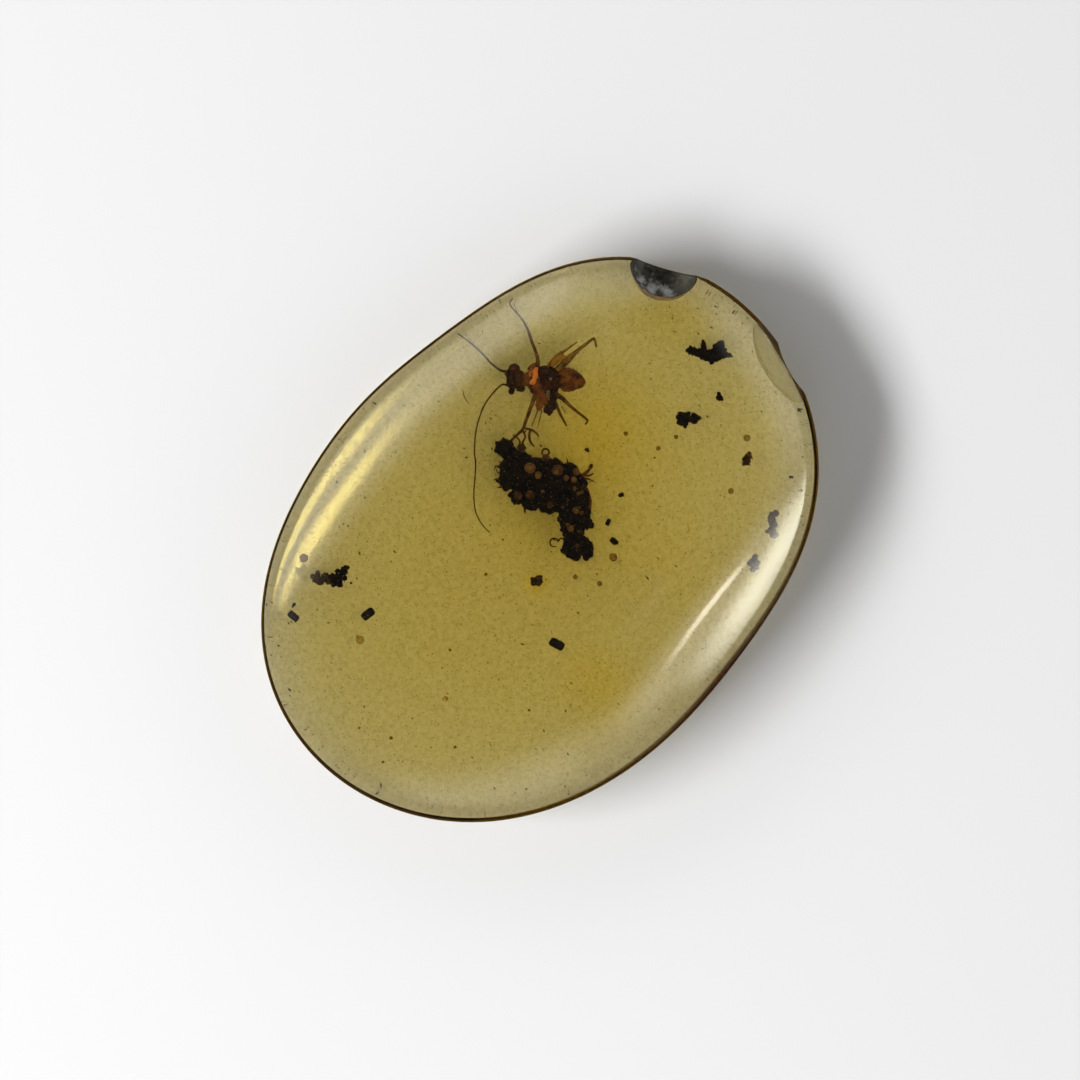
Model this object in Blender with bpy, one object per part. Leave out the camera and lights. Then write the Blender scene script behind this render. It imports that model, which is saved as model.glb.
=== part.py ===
"""Insect in amber: the polished drop of amber, as one closed solid.

Metres, +Z up. The drop lies on its flat polished base at z = 0, with its long
axis along +X. The origin is the middle of its bounding box, on the base. The
insect and the debris round it are sealed inside the amber, so nothing but the
amber is a piece that could be lifted off.
"""
import math

import bmesh
import bpy
import numpy as np
from mathutils import Matrix, Vector

MM = 0.001

# Outline of the widest section: distance from its middle every 30 degrees,
# counterclockwise from +X. The long way is 25 mm and the short way 18 mm.
OUTLINE_RADII = [r * MM for r in
                 (12.46, 11.75, 9.62, 9.01, 9.79, 11.64, 12.49, 11.55, 9.96, 9.09, 9.75, 11.55)]

# Heights: widest section above the base, rounded wall above that, and the dome
# that swells over the whole width. All three add up to 5.8 mm.
GIRDLE_HEIGHT = 2.3 * MM
WALL_RISE = 0.8 * MM
DOME_RISE = 2.7 * MM
DOME_POWER = 2.3

# Where the wall's rounded corner and the foot start, as a share of the
# outline, and how tight their corners are (2 is a plain ellipse).
WALL_START = 0.93
WALL_CORNER = 3.0
FOOT_START = 0.95
FOOT_CORNER = 4.0

# Fineness of the faceted solid.
SEGMENTS = 96
DOME_RINGS = 11
WALL_RINGS = 8
FOOT_RINGS = 6
SCOOP_SEGMENTS = 40
SCOOP_RINGS = 24

# Old damage in the rim: a half-moon chip with a flattened edge under it, and
# a shell-shaped chip with a shallow nick under that. Each is a scoop with the
# shape of an ellipsoid: its middle, its half sizes (along the radius, along
# the rim, up) and the compass angle that its first half size points along.
HALF_MOON_MIDDLE = Vector((11.476, 4.191, 3.3)) * MM
HALF_MOON_HALF_SIZES = Vector((1.70, 1.42, 0.98)) * MM
HALF_MOON_TURN = math.radians(28.5)
FLAT_EDGE_MIDDLE = Vector((11.887, 4.268, 2.3)) * MM
FLAT_EDGE_HALF_SIZES = Vector((0.60, 4.20, 2.60)) * MM
FLAT_EDGE_TURN = math.radians(27.7)
SHELL_CHIP_MIDDLE = Vector((12.17, -1.93, 3.9)) * MM
SHELL_CHIP_HALF_SIZES = Vector((1.22, 2.30, 1.58)) * MM
SHELL_CHIP_TURN = math.radians(-16.1)
EDGE_NICK_MIDDLE = Vector((12.343, -2.686, 2.3)) * MM
EDGE_NICK_HALF_SIZES = Vector((0.60, 1.90, 2.60)) * MM
EDGE_NICK_TURN = math.radians(-16.0)

AMBER_COLOUR = (0.33, 0.26, 0.06, 1.0)
AMBER_ROUGHNESS = 0.05
AMBER_TRANSMISSION = 0.9
AMBER_IOR = 1.54


def clear_scene():
    """Remove every object that the file opened with."""
    for old in list(bpy.data.objects):
        bpy.data.objects.remove(old, do_unlink=True)


def outline_radius(angles):
    """Smooth closed curve through OUTLINE_RADII, by trigonometric interpolation."""
    count = len(OUTLINE_RADII)
    waves = np.fft.rfft(OUTLINE_RADII) / count
    radius = np.full(angles.shape, waves[0].real)
    for order in range(1, count // 2):
        radius += 2.0 * (waves[order].real * np.cos(order * angles)
                         - waves[order].imag * np.sin(order * angles))
    return radius + waves[-1].real * np.cos(count // 2 * angles)


def girdle_ring():
    """Plan points (N, 2) of the widest section, centred on its bounding box."""
    angles = np.linspace(0.0, 2.0 * math.pi, SEGMENTS, endpoint=False)
    radius = outline_radius(angles)
    points = np.stack((radius * np.cos(angles), radius * np.sin(angles)), axis=1)
    return points - (points.max(axis=0) + points.min(axis=0)) / 2.0


def dome_height(share):
    """Height of the dome at a share of the outline, over the wall."""
    return DOME_RISE * (1.0 - share ** DOME_POWER)


def side_profile():
    """(share of the outline, height) pairs from the dome's first ring to the base."""
    wall_top = GIRDLE_HEIGHT + WALL_RISE
    profile = []
    for share in np.linspace(0.0, WALL_START, DOME_RINGS + 1)[1:-1]:
        profile.append((share, wall_top + dome_height(share)))
    for turn in np.linspace(0.0, math.pi / 2.0, WALL_RINGS + 1):
        share = WALL_START + (1.0 - WALL_START) * math.sin(turn) ** (2.0 / WALL_CORNER)
        profile.append((share, GIRDLE_HEIGHT + WALL_RISE * math.cos(turn) + dome_height(share)))
    for turn in np.linspace(0.0, math.pi / 2.0, FOOT_RINGS + 1)[1:-1]:
        share = FOOT_START + (1.0 - FOOT_START) * math.cos(turn) ** (2.0 / FOOT_CORNER)
        profile.append((share, GIRDLE_HEIGHT * (1.0 - math.sin(turn))))
    profile.append((FOOT_START, 0.0))
    return profile


def build_drop():
    """Skin the rings of the side profile, with a point on top and a flat base."""
    girdle = girdle_ring()
    shape = bmesh.new()
    top = shape.verts.new((0.0, 0.0, GIRDLE_HEIGHT + WALL_RISE + dome_height(0.0)))
    rings = []
    for share, height in side_profile():
        rings.append([shape.verts.new((x * share, y * share, height)) for x, y in girdle])
    for step in range(SEGMENTS):
        after = (step + 1) % SEGMENTS
        shape.faces.new((top, rings[0][step], rings[0][after]))
        for upper, lower in zip(rings, rings[1:]):
            shape.faces.new((upper[step], lower[step], lower[after], upper[after]))
    shape.faces.new(list(reversed(rings[-1])))
    return shape


def new_object(name, shape):
    """Turn a bmesh into an object in the scene."""
    mesh = bpy.data.meshes.new(name)
    shape.to_mesh(mesh)
    shape.free()
    made = bpy.data.objects.new(name, mesh)
    bpy.context.scene.collection.objects.link(made)
    return made


def add_scoop(amber, name, middle, half_sizes, turn):
    """Cut one ellipsoid scoop out of the amber's rim."""
    shape = bmesh.new()
    place = (Matrix.Translation(middle) @ Matrix.Rotation(turn, 4, "Z")
             @ Matrix.Diagonal(half_sizes.to_4d()))
    bmesh.ops.create_uvsphere(shape, u_segments=SCOOP_SEGMENTS, v_segments=SCOOP_RINGS,
                              radius=1.0, matrix=place)
    cutter = new_object(name, shape)
    cutter.hide_render = True
    cutter.display_type = "WIRE"
    cut = amber.modifiers.new(name, "BOOLEAN")
    cut.operation = "DIFFERENCE"
    cut.solver = "EXACT"
    cut.object = cutter


def amber_material():
    """Clear olive-yellow amber with a hand polish."""
    material = bpy.data.materials.new("clear_amber")
    material.use_nodes = True
    shader = material.node_tree.nodes["Principled BSDF"]
    shader.inputs["Base Color"].default_value = AMBER_COLOUR
    shader.inputs["Metallic"].default_value = 0.0
    shader.inputs["Roughness"].default_value = AMBER_ROUGHNESS
    shader.inputs["IOR"].default_value = AMBER_IOR
    shader.inputs["Transmission Weight"].default_value = AMBER_TRANSMISSION
    return material


def build():
    """Make the amber with its chips, its flattened edge and its nick."""
    clear_scene()
    amber = new_object("amber", build_drop())
    amber.data.materials.append(amber_material())
    amber.data.shade_smooth()
    add_scoop(amber, "half_moon_scoop", HALF_MOON_MIDDLE, HALF_MOON_HALF_SIZES, HALF_MOON_TURN)
    add_scoop(amber, "flat_edge_scoop", FLAT_EDGE_MIDDLE, FLAT_EDGE_HALF_SIZES, FLAT_EDGE_TURN)
    add_scoop(amber, "shell_chip_scoop", SHELL_CHIP_MIDDLE, SHELL_CHIP_HALF_SIZES,
              SHELL_CHIP_TURN)
    add_scoop(amber, "edge_nick_scoop", EDGE_NICK_MIDDLE, EDGE_NICK_HALF_SIZES, EDGE_NICK_TURN)


build()
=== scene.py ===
"""Insect in amber: the looks of a polished drop of amber and of what it holds.

Lengths are in millimetres until a mesh is made, and then in metres. Sealed things are placed
by where they look to be from above, in a plan with x to the right and y up, in which the
drop's long axis rises at 46 degrees. Sight.sink() follows the bent line of sight down into
the amber, so each thing sits at its own depth under the place where it is seen.
"""

import logging
import math
from dataclasses import dataclass, field
from enum import Enum

import bpy
import numpy as np
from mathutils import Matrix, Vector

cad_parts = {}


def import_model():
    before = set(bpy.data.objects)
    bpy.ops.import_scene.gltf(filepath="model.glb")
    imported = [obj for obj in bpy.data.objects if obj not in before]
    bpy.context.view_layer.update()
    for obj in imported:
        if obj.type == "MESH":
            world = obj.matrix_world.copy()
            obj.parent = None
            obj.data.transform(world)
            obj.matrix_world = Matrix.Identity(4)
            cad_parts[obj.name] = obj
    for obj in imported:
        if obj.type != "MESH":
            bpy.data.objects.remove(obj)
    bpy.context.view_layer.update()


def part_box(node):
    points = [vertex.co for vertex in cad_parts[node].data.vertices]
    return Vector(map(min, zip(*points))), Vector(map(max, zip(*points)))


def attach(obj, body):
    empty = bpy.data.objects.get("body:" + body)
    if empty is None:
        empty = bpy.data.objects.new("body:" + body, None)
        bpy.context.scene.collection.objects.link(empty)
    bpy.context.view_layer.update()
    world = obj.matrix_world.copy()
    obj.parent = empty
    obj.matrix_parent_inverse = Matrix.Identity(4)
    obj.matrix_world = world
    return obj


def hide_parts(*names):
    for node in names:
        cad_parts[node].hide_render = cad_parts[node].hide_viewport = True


MM = 0.001
AMBER_IOR = 1.54
LOG = logging.getLogger("amber")

Colour = tuple[float, float, float]
Point = tuple[float, float, float]
Seen = tuple[float, float]


class Body(Enum):
    """The CAD bodies that pieces ride on."""

    ROOT = "root"


class Slot(Enum):
    """The record's material slots."""

    AMBER = "amber"
    INSECT = "insect"
    DEBRIS = "debris"
    DROPS = "resin_drops"
    # The half-moon film's slot: a dark film of painted shade with patches of painted reflection.
    FILM = "mineral_film"


# ---------------------------------------------------------------- numbers and curves


def unit(vectors: np.ndarray) -> np.ndarray:
    """Scale vectors in the last axis to length one."""
    return vectors / np.maximum(np.linalg.norm(vectors, axis=-1, keepdims=True), 1e-12)


def smooth_path(points: np.ndarray, count: int) -> np.ndarray:
    """Draw a smooth curve through points, by Catmull-Rom splines.

    Between two points the curve is the cubic that leaves each one parallel to the line
    through its neighbours.

    Args:
        points: (N, D) points on the curve.
        count: number of points wanted.

    Returns:
        (count, D) points, evenly spaced in the curve's parameter.
    """
    points = np.asarray(points, float)
    padded = np.vstack((2 * points[0] - points[1], points, 2 * points[-1] - points[-2]))
    place = np.linspace(0.0, len(points) - 1.0, count)
    first = np.minimum(place.astype(int), len(points) - 2)
    t = (place - first)[:, None]
    a, b, c, d = (padded[first + k] for k in range(4))
    return 0.5 * (2 * b + (c - a) * t + (2 * a - 5 * b + 4 * c - d) * t ** 2
                  + (3 * b - a - 3 * c + d) * t ** 3)


@dataclass
class Lumpiness:
    """A smooth bumpy field: a sum of sine waves in random directions.

    The value at a point p is the mean of sin(w . p + phase) over the waves, where each w
    has a random direction and a length near 2 pi over the lump size.
    """

    size: float
    seed: int
    waves: int = 14

    def at(self, points: np.ndarray) -> np.ndarray:
        """Value of the field, about -1 to 1, at each of (..., 3) points.

        Args:
            points: (..., 3) points in mm.

        Returns:
            (...) values.
        """
        rng = np.random.default_rng(self.seed)
        length = 2 * math.pi / self.size * rng.uniform(0.6, 1.5, (self.waves, 1))
        waves = unit(rng.normal(size=(self.waves, 3))) * length
        phase = rng.uniform(0, 2 * math.pi, self.waves)
        return np.sin(points @ waves.T + phase).sum(-1) * (1.4 / math.sqrt(self.waves)) * 0.6


# ---------------------------------------------------------------- skins: arrays of points and faces


@dataclass
class Skin:
    """Closed surfaces as arrays: points (N, 3) in mm, quads (Q, 4), triangles (T, 3), tint (N,)."""

    points: np.ndarray
    quads: np.ndarray
    tris: np.ndarray
    tint: np.ndarray

    @staticmethod
    def closed(rings: np.ndarray, tint: float | np.ndarray = 0.0) -> "Skin":
        """Skin a grid of rings whose first and last rows are poles.

        Args:
            rings: (R, C, 3) rows of points round the shape, rows 0 and R-1 all at one point.
            tint: one value, or (R, C) values, kept with the points.

        Returns:
            A closed skin that faces outwards.
        """
        rows, columns = rings.shape[0] - 2, rings.shape[1]
        tint = np.broadcast_to(tint, rings.shape[:2])
        points = np.vstack((rings[1:-1].reshape(-1, 3), rings[0, :1], rings[-1, :1]))
        tints = np.concatenate((tint[1:-1].ravel(), tint[0, :1], tint[-1, :1]))
        here = np.arange(columns)
        after = (here + 1) % columns
        row = (np.arange(rows - 1) * columns)[:, None]
        quads = np.stack((row + here, row + columns + here, row + columns + after, row + after),
                         axis=-1).reshape(-1, 4)
        last = (rows - 1) * columns
        cap = np.full(columns, rows * columns)
        tris = np.vstack((np.stack((cap, here, after), axis=1),
                          np.stack((cap + 1, last + after, last + here), axis=1)))
        return Skin(points, quads, tris, tints).facing_out()

    def facing_out(self) -> "Skin":
        """Turn every face round if the enclosed volume comes out negative.

        Returns:
            This skin, with its faces outwards.
        """
        corners = np.vstack((self.tris, self.quads[:, :3], self.quads[:, [0, 2, 3]]))
        a, b, c = (self.points[corners[:, k]] for k in range(3))
        if np.einsum("ij,ij->", a, np.cross(b, c)) < 0:
            self.quads = self.quads[:, ::-1]
            self.tris = self.tris[:, ::-1]
        return self

    @staticmethod
    def joined(skins: list["Skin"]) -> "Skin":
        """Put several skins side by side in one.

        Args:
            skins: the skins, in order.

        Returns:
            One skin with all their faces.
        """
        starts = np.cumsum([0] + [len(s.points) for s in skins[:-1]])
        return Skin(np.vstack([s.points for s in skins]),
                    np.vstack([s.quads + n for s, n in zip(skins, starts)]),
                    np.vstack([s.tris + n for s, n in zip(skins, starts)]),
                    np.concatenate([s.tint for s in skins]))

    def scattered(self, places: np.ndarray, frames: np.ndarray, tints: np.ndarray) -> "Skin":
        """Repeat this skin many times.

        Args:
            places: (N, 3) middles.
            frames: (N, 3, 3) matrices that turn and stretch the skin's points.
            tints: (N,) tint of each copy.

        Returns:
            One skin that holds every copy.
        """
        count, size = len(places), len(self.points)
        points = np.einsum("nij,pj->npi", frames, self.points) + places[:, None]
        shift = (np.arange(count) * size)[:, None, None]
        return Skin(points.reshape(-1, 3), (self.quads + shift).reshape(-1, 4),
                    (self.tris + shift).reshape(-1, 3), np.repeat(tints, size))


def sphere_rings(rows: int, columns: int) -> np.ndarray:
    """Points (rows + 1, columns, 3) of the unit sphere by polar angle and turn, poles on Z.

    Args:
        rows: rows of faces from pole to pole.
        columns: points in each ring.

    Returns:
        The points, poles included.
    """
    polar = np.linspace(0.0, math.pi, rows + 1)[:, None]
    turn = np.linspace(0.0, 2 * math.pi, columns, endpoint=False)[None]
    return np.stack((np.sin(polar) * np.cos(turn), np.sin(polar) * np.sin(turn),
                     np.cos(polar) + 0 * turn), axis=-1)


def turned(points: np.ndarray, degrees: float) -> np.ndarray:
    """Turn points about Z, counterclockwise seen from above."""
    c, s = math.cos(math.radians(degrees)), math.sin(math.radians(degrees))
    return points @ np.array(((c, s, 0.0), (-s, c, 0.0), (0.0, 0.0, 1.0)))


def blob(middle: np.ndarray, half: Point, degrees: float = 0.0, lumps: Lumpiness | None = None,
         height: float = 0.0, fine: int = 14, square: float = 1.0, tint: float = 0.0) -> Skin:
    """Make a rounded lump: a superellipsoid pushed in and out by a lumpy field.

    Each direction d of a sphere is raised to the power `square` by component, stretched
    by the half sizes, and moved along itself by height times the field at its point.

    Args:
        middle: (3,) middle of the lump.
        half: half sizes along, across and up.
        degrees: turn of the first half size about Z.
        lumps: field that roughens the surface.
        height: how far the field moves it, in mm.
        fine: rows from pole to pole.
        square: 1 for an ellipsoid, lower for a boxier shape.
        tint: value kept with the points.

    Returns:
        A closed skin.
    """
    ball = sphere_rings(fine, 2 * fine)
    shape = np.sign(ball) * np.abs(ball) ** square * np.array(half)
    if lumps is not None:
        shape = shape + ball * (height * lumps.at(shape + middle))[..., None]
    shape[0], shape[-1] = shape[0].mean(0), shape[-1].mean(0)
    return Skin.closed(turned(shape, degrees) + middle, tint)


def tube(path: np.ndarray, radii: np.ndarray, sides: int = 10, tint: float = 0.0) -> Skin:
    """Carry a round profile along a path, and close both ends.

    At each point the circle lies across the path's direction, between a level axis and
    the one square to both.

    Args:
        path: (N, 3) smooth path.
        radii: (N,) radius at each point.
        sides: points round the profile.
        tint: value kept with the points.

    Returns:
        A closed skin.
    """
    along = unit(np.gradient(path, axis=0))
    level = unit(np.cross(along, np.array((0.05, 0.03, 1.0))))
    upright = np.cross(level, along)
    turn = np.linspace(0.0, 2 * math.pi, sides, endpoint=False)[None, :, None]
    ring = (np.cos(turn) * level[:, None] + np.sin(turn) * upright[:, None])
    rings = path[:, None] + ring * radii[:, None, None]
    start = path[0] - along[0] * radii[0] * 0.6
    end = path[-1] + along[-1] * radii[-1] * 0.6
    caps = [np.broadcast_to(p, (1, sides, 3)) for p in (start, end)]
    return Skin.closed(np.concatenate((caps[0], rings, caps[1])), tint)


def limb(points: np.ndarray, thick: tuple[float, ...], count: int = 40, sides: int = 10,
         knots: float = 0.0, tint: float = 0.0) -> Skin:
    """Make a leg or feeler: a tube on a smooth path, swollen a little at even steps.

    Args:
        points: (N, 3) points that the path goes through.
        thick: radii, spread evenly along the path.
        count: points along the path.
        sides: points round the tube.
        knots: share by which the segments swell.
        tint: value kept with the points.

    Returns:
        A closed skin.
    """
    path = smooth_path(points, count)
    place = np.linspace(0.0, 1.0, count)
    radii = np.interp(place, np.linspace(0.0, 1.0, len(thick)), thick)
    return tube(path, radii * (1.0 + knots * np.sin(place * math.pi * count / 3.0)), sides, tint)


# ---------------------------------------------------------------- node graphs and shared effects


class Graph:
    """Shorthand for building one node tree."""

    def __init__(self, tree: bpy.types.NodeTree) -> None:
        """Keep the tree that nodes are added to."""
        self.tree = tree

    def node(self, kind: str, values: dict | None = None, **settings: object) -> bpy.types.Node:
        """Add a node.

        Args:
            kind: the node's type, without its ShaderNode prefix.
            values: constants for its input sockets, by name or number.
            **settings: its properties.

        Returns:
            The new node.
        """
        made = self.tree.nodes.new("ShaderNode" + kind)
        for name, value in settings.items():
            setattr(made, name, value)
        for name, value in (values or {}).items():
            made.inputs[name].default_value = value
        return made

    def link(self, source: bpy.types.NodeSocket, target: bpy.types.NodeSocket) -> None:
        """Join an output to an input."""
        self.tree.links.new(source, target)

    def maths(self, operation: str, first: object, second: object = 0.0) -> bpy.types.NodeSocket:
        """Add a Math node and give its result; an operand is a socket or a number.

        Args:
            operation: the node's operation.
            first: its first operand.
            second: its second operand.

        Returns:
            The result.
        """
        made = self.node("Math", operation=operation)
        for slot, value in zip(made.inputs, (first, second)):
            if isinstance(value, bpy.types.NodeSocket):
                self.link(value, slot)
            else:
                slot.default_value = value
        return made.outputs[0]

    def ramp(self, value: bpy.types.NodeSocket, low: float, high: float,
             start: float = 0.0, end: float = 1.0) -> bpy.types.NodeSocket:
        """Map low..high smoothly to start..end, with its ends held.

        Args:
            value: the socket to map.
            low: value that gives start.
            high: value that gives end.
            start: result at low.
            end: result at high.

        Returns:
            The mapped value.
        """
        made = self.node("MapRange", {"From Min": low, "From Max": high, "To Min": start,
                                      "To Max": end}, interpolation_type="SMOOTHSTEP")
        self.link(value, made.inputs["Value"])
        return made.outputs["Result"]

    def mix(self, factor: object, first: object, second: object,
            blend: str = "MIX") -> bpy.types.NodeSocket:
        """Mix two colours by a factor; each is a socket or a constant.

        Args:
            factor: share of the second colour.
            first: colour at 0.
            second: colour at 1.
            blend: how the second is laid on.

        Returns:
            The mixed colour.
        """
        made = self.node("Mix", data_type="RGBA", blend_type=blend)
        for slot, value in zip((made.inputs[0], made.inputs[6], made.inputs[7]),
                               (factor, first, second)):
            if isinstance(value, bpy.types.NodeSocket):
                self.link(value, slot)
            else:
                slot.default_value = value
        return made.outputs[2]

    def place(self, group: bpy.types.NodeTree, values: dict) -> bpy.types.Node:
        """Place a node group, with its own values on the named inputs.

        Args:
            group: the node group.
            values: a constant or socket for each named input.

        Returns:
            The group's node.
        """
        made = self.node("Group")
        made.node_tree = group
        for name, value in values.items():
            made.inputs[name].default_value = value
        return made


def opaque(colour: Colour) -> tuple[float, float, float, float]:
    """Add a full alpha to a colour."""
    return (*colour, 1.0)


def new_group(name: str, inputs: dict[str, str], outputs: dict[str, str]) -> tuple:
    """Start a shader node group.

    Args:
        name: the group's name.
        inputs: socket kind (Float, Color or Vector) by input name.
        outputs: the same for the outputs.

    Returns:
        The group's graph, its input node and its output node.
    """
    tree = bpy.data.node_groups.new(name, "ShaderNodeTree")
    for way, sockets in (("INPUT", inputs), ("OUTPUT", outputs)):
        for label, kind in sockets.items():
            tree.interface.new_socket(label, in_out=way, socket_type="NodeSocket" + kind)
    return (Graph(tree), tree.nodes.new("NodeGroupInput"), tree.nodes.new("NodeGroupOutput"))


class Effects:
    """The node groups that several finishes share, each built once."""

    def __init__(self) -> None:
        """Build the groups."""
        self.mottle = self._mottle()
        self.polish = self._polish()
        self.spot = self._spot()

    @staticmethod
    def _mottle() -> bpy.types.NodeTree:
        """Cloudy blotches between two colours, shifted by each point's tint.

        Returns:
            The node group.
        """
        graph, start, end = new_group(
            "mottle", {"Grain": "Float", "Dark": "Color", "Pale": "Color", "Tint": "Float"},
            {"Colour": "Color", "Mask": "Float", "Height": "Float"})
        where = graph.node("TexCoord").outputs["Object"]
        cloud = graph.node("TexNoise", {"Detail": 4.0, "Roughness": 0.6})
        graph.link(where, cloud.inputs["Vector"])
        graph.link(start.outputs["Grain"], cloud.inputs["Scale"])
        tint = graph.node("Attribute", attribute_name="tint").outputs["Fac"]
        lift = graph.maths("MULTIPLY", tint, start.outputs["Tint"])
        mask = graph.ramp(graph.maths("ADD", cloud.outputs["Fac"], lift), 0.36, 0.68)
        graph.link(graph.mix(mask, start.outputs["Dark"], start.outputs["Pale"]),
                   end.inputs["Colour"])
        graph.link(mask, end.inputs["Mask"])
        grit = graph.node("TexNoise", {"Detail": 3.0, "Roughness": 0.7})
        graph.link(where, grit.inputs["Vector"])
        graph.link(graph.maths("MULTIPLY", start.outputs["Grain"], 3.0), grit.inputs["Scale"])
        graph.link(grit.outputs["Fac"], end.inputs["Height"])
        return graph.tree

    @staticmethod
    def _polish() -> bpy.types.NodeTree:
        """A hand polish, hazier in patches, with hairline scratches, and a duller base.

        Returns:
            The node group.
        """
        graph, start, end = new_group(
            "hand_polish", {"Haze": "Float", "Clear": "Float", "Base": "Float"},
            {"Roughness": "Float", "Height": "Float"})
        where = graph.node("TexCoord").outputs["Object"]
        grain = graph.node("TexNoise", {"Scale": 5200.0, "Detail": 2.0})
        graph.link(where, grain.inputs["Vector"])
        total = graph.maths("MULTIPLY", grain.outputs["Fac"], 0.5)
        for turn, across in ((0.5, 1700.0), (-0.9, 1300.0)):
            stretch = graph.node("Mapping", {"Rotation": (0.0, 0.0, turn),
                                             "Scale": (60.0, across, across)})
            line = graph.node("TexNoise", {"Scale": 1.0, "Detail": 1.0})
            graph.link(where, stretch.inputs["Vector"])
            graph.link(stretch.outputs["Vector"], line.inputs["Vector"])
            scratch = graph.ramp(line.outputs["Fac"], 0.66, 0.74)
            total = graph.maths("SUBTRACT", total, graph.maths("MULTIPLY", scratch, 0.4))
        graph.link(total, end.inputs["Height"])
        patch = graph.node("TexNoise", {"Scale": 260.0, "Detail": 3.0})
        graph.link(where, patch.inputs["Vector"])
        share = graph.ramp(patch.outputs["Fac"], 0.4, 0.7)
        span = graph.maths("SUBTRACT", start.outputs["Haze"], start.outputs["Clear"])
        skin = graph.maths("ADD", start.outputs["Clear"], graph.maths("MULTIPLY", share, span))
        parts = graph.node("SeparateXYZ")
        graph.link(where, parts.inputs[0])
        low = graph.ramp(parts.outputs["Z"], 0.02 * MM, 0.25 * MM, 1.0, 0.0)
        graph.link(graph.maths("MAXIMUM", skin, graph.maths("MULTIPLY", low,
                                                            start.outputs["Base"])),
                   end.inputs["Roughness"])
        return graph.tree

    @staticmethod
    def _spot() -> bpy.types.NodeTree:
        """A soft spot round an upright axis: 1 in its middle, 0 past its radius.

        Returns:
            The node group.
        """
        graph, start, end = new_group("soft_spot", {"Middle": "Vector", "Radius": "Float"},
                                      {"Mask": "Float"})
        away = graph.node("VectorMath", operation="SUBTRACT")
        flat = graph.node("VectorMath", {1: (1.0, 1.0, 0.0)}, operation="MULTIPLY")
        length = graph.node("VectorMath", operation="LENGTH")
        graph.link(graph.node("TexCoord").outputs["Object"], away.inputs[0])
        graph.link(start.outputs["Middle"], away.inputs[1])
        graph.link(away.outputs[0], flat.inputs[0])
        graph.link(flat.outputs[0], length.inputs[0])
        share = graph.maths("DIVIDE", length.outputs["Value"], start.outputs["Radius"])
        graph.link(graph.ramp(share, 0.0, 1.0, 1.0, 0.0), end.inputs["Mask"])
        return graph.tree


def new_material(name: str) -> tuple[bpy.types.Material, Graph, bpy.types.Node, bpy.types.Node]:
    """Start a material: returns it, its graph, its Principled shader and its output.

    Args:
        name: the material's name.

    Returns:
        The material, its graph, its Principled shader and its output.
    """
    material = bpy.data.materials.new(name)
    material.use_nodes = True
    nodes = material.node_tree.nodes
    return material, Graph(material.node_tree), nodes["Principled BSDF"], nodes["Material Output"]


def add_bump(graph: Graph, shader: bpy.types.Node, height: bpy.types.NodeSocket,
             depth: float, normal: bpy.types.NodeSocket | None = None) -> None:
    """Feed a height, in mm of relief over the given normal, to a shader's normal.

    Args:
        graph: the material's node graph.
        shader: the Principled shader.
        height: relief from 0 to 1.
        depth: full relief in mm.
        normal: normal to stand on, if not the surface's own.
    """
    bump = graph.node("Bump", {"Strength": 1.0, "Distance": depth * MM})
    graph.link(height, bump.inputs["Height"])
    if normal is not None:
        graph.link(normal, bump.inputs["Normal"])
    graph.link(bump.outputs["Normal"], shader.inputs["Normal"])


# ---------------------------------------------------------------- finishes


@dataclass(frozen=True)
class Stain:
    """A yellower place in the amber: where it is seen, its radius in mm and its strength."""

    seen: Seen
    radius: float
    strength: float


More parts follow.
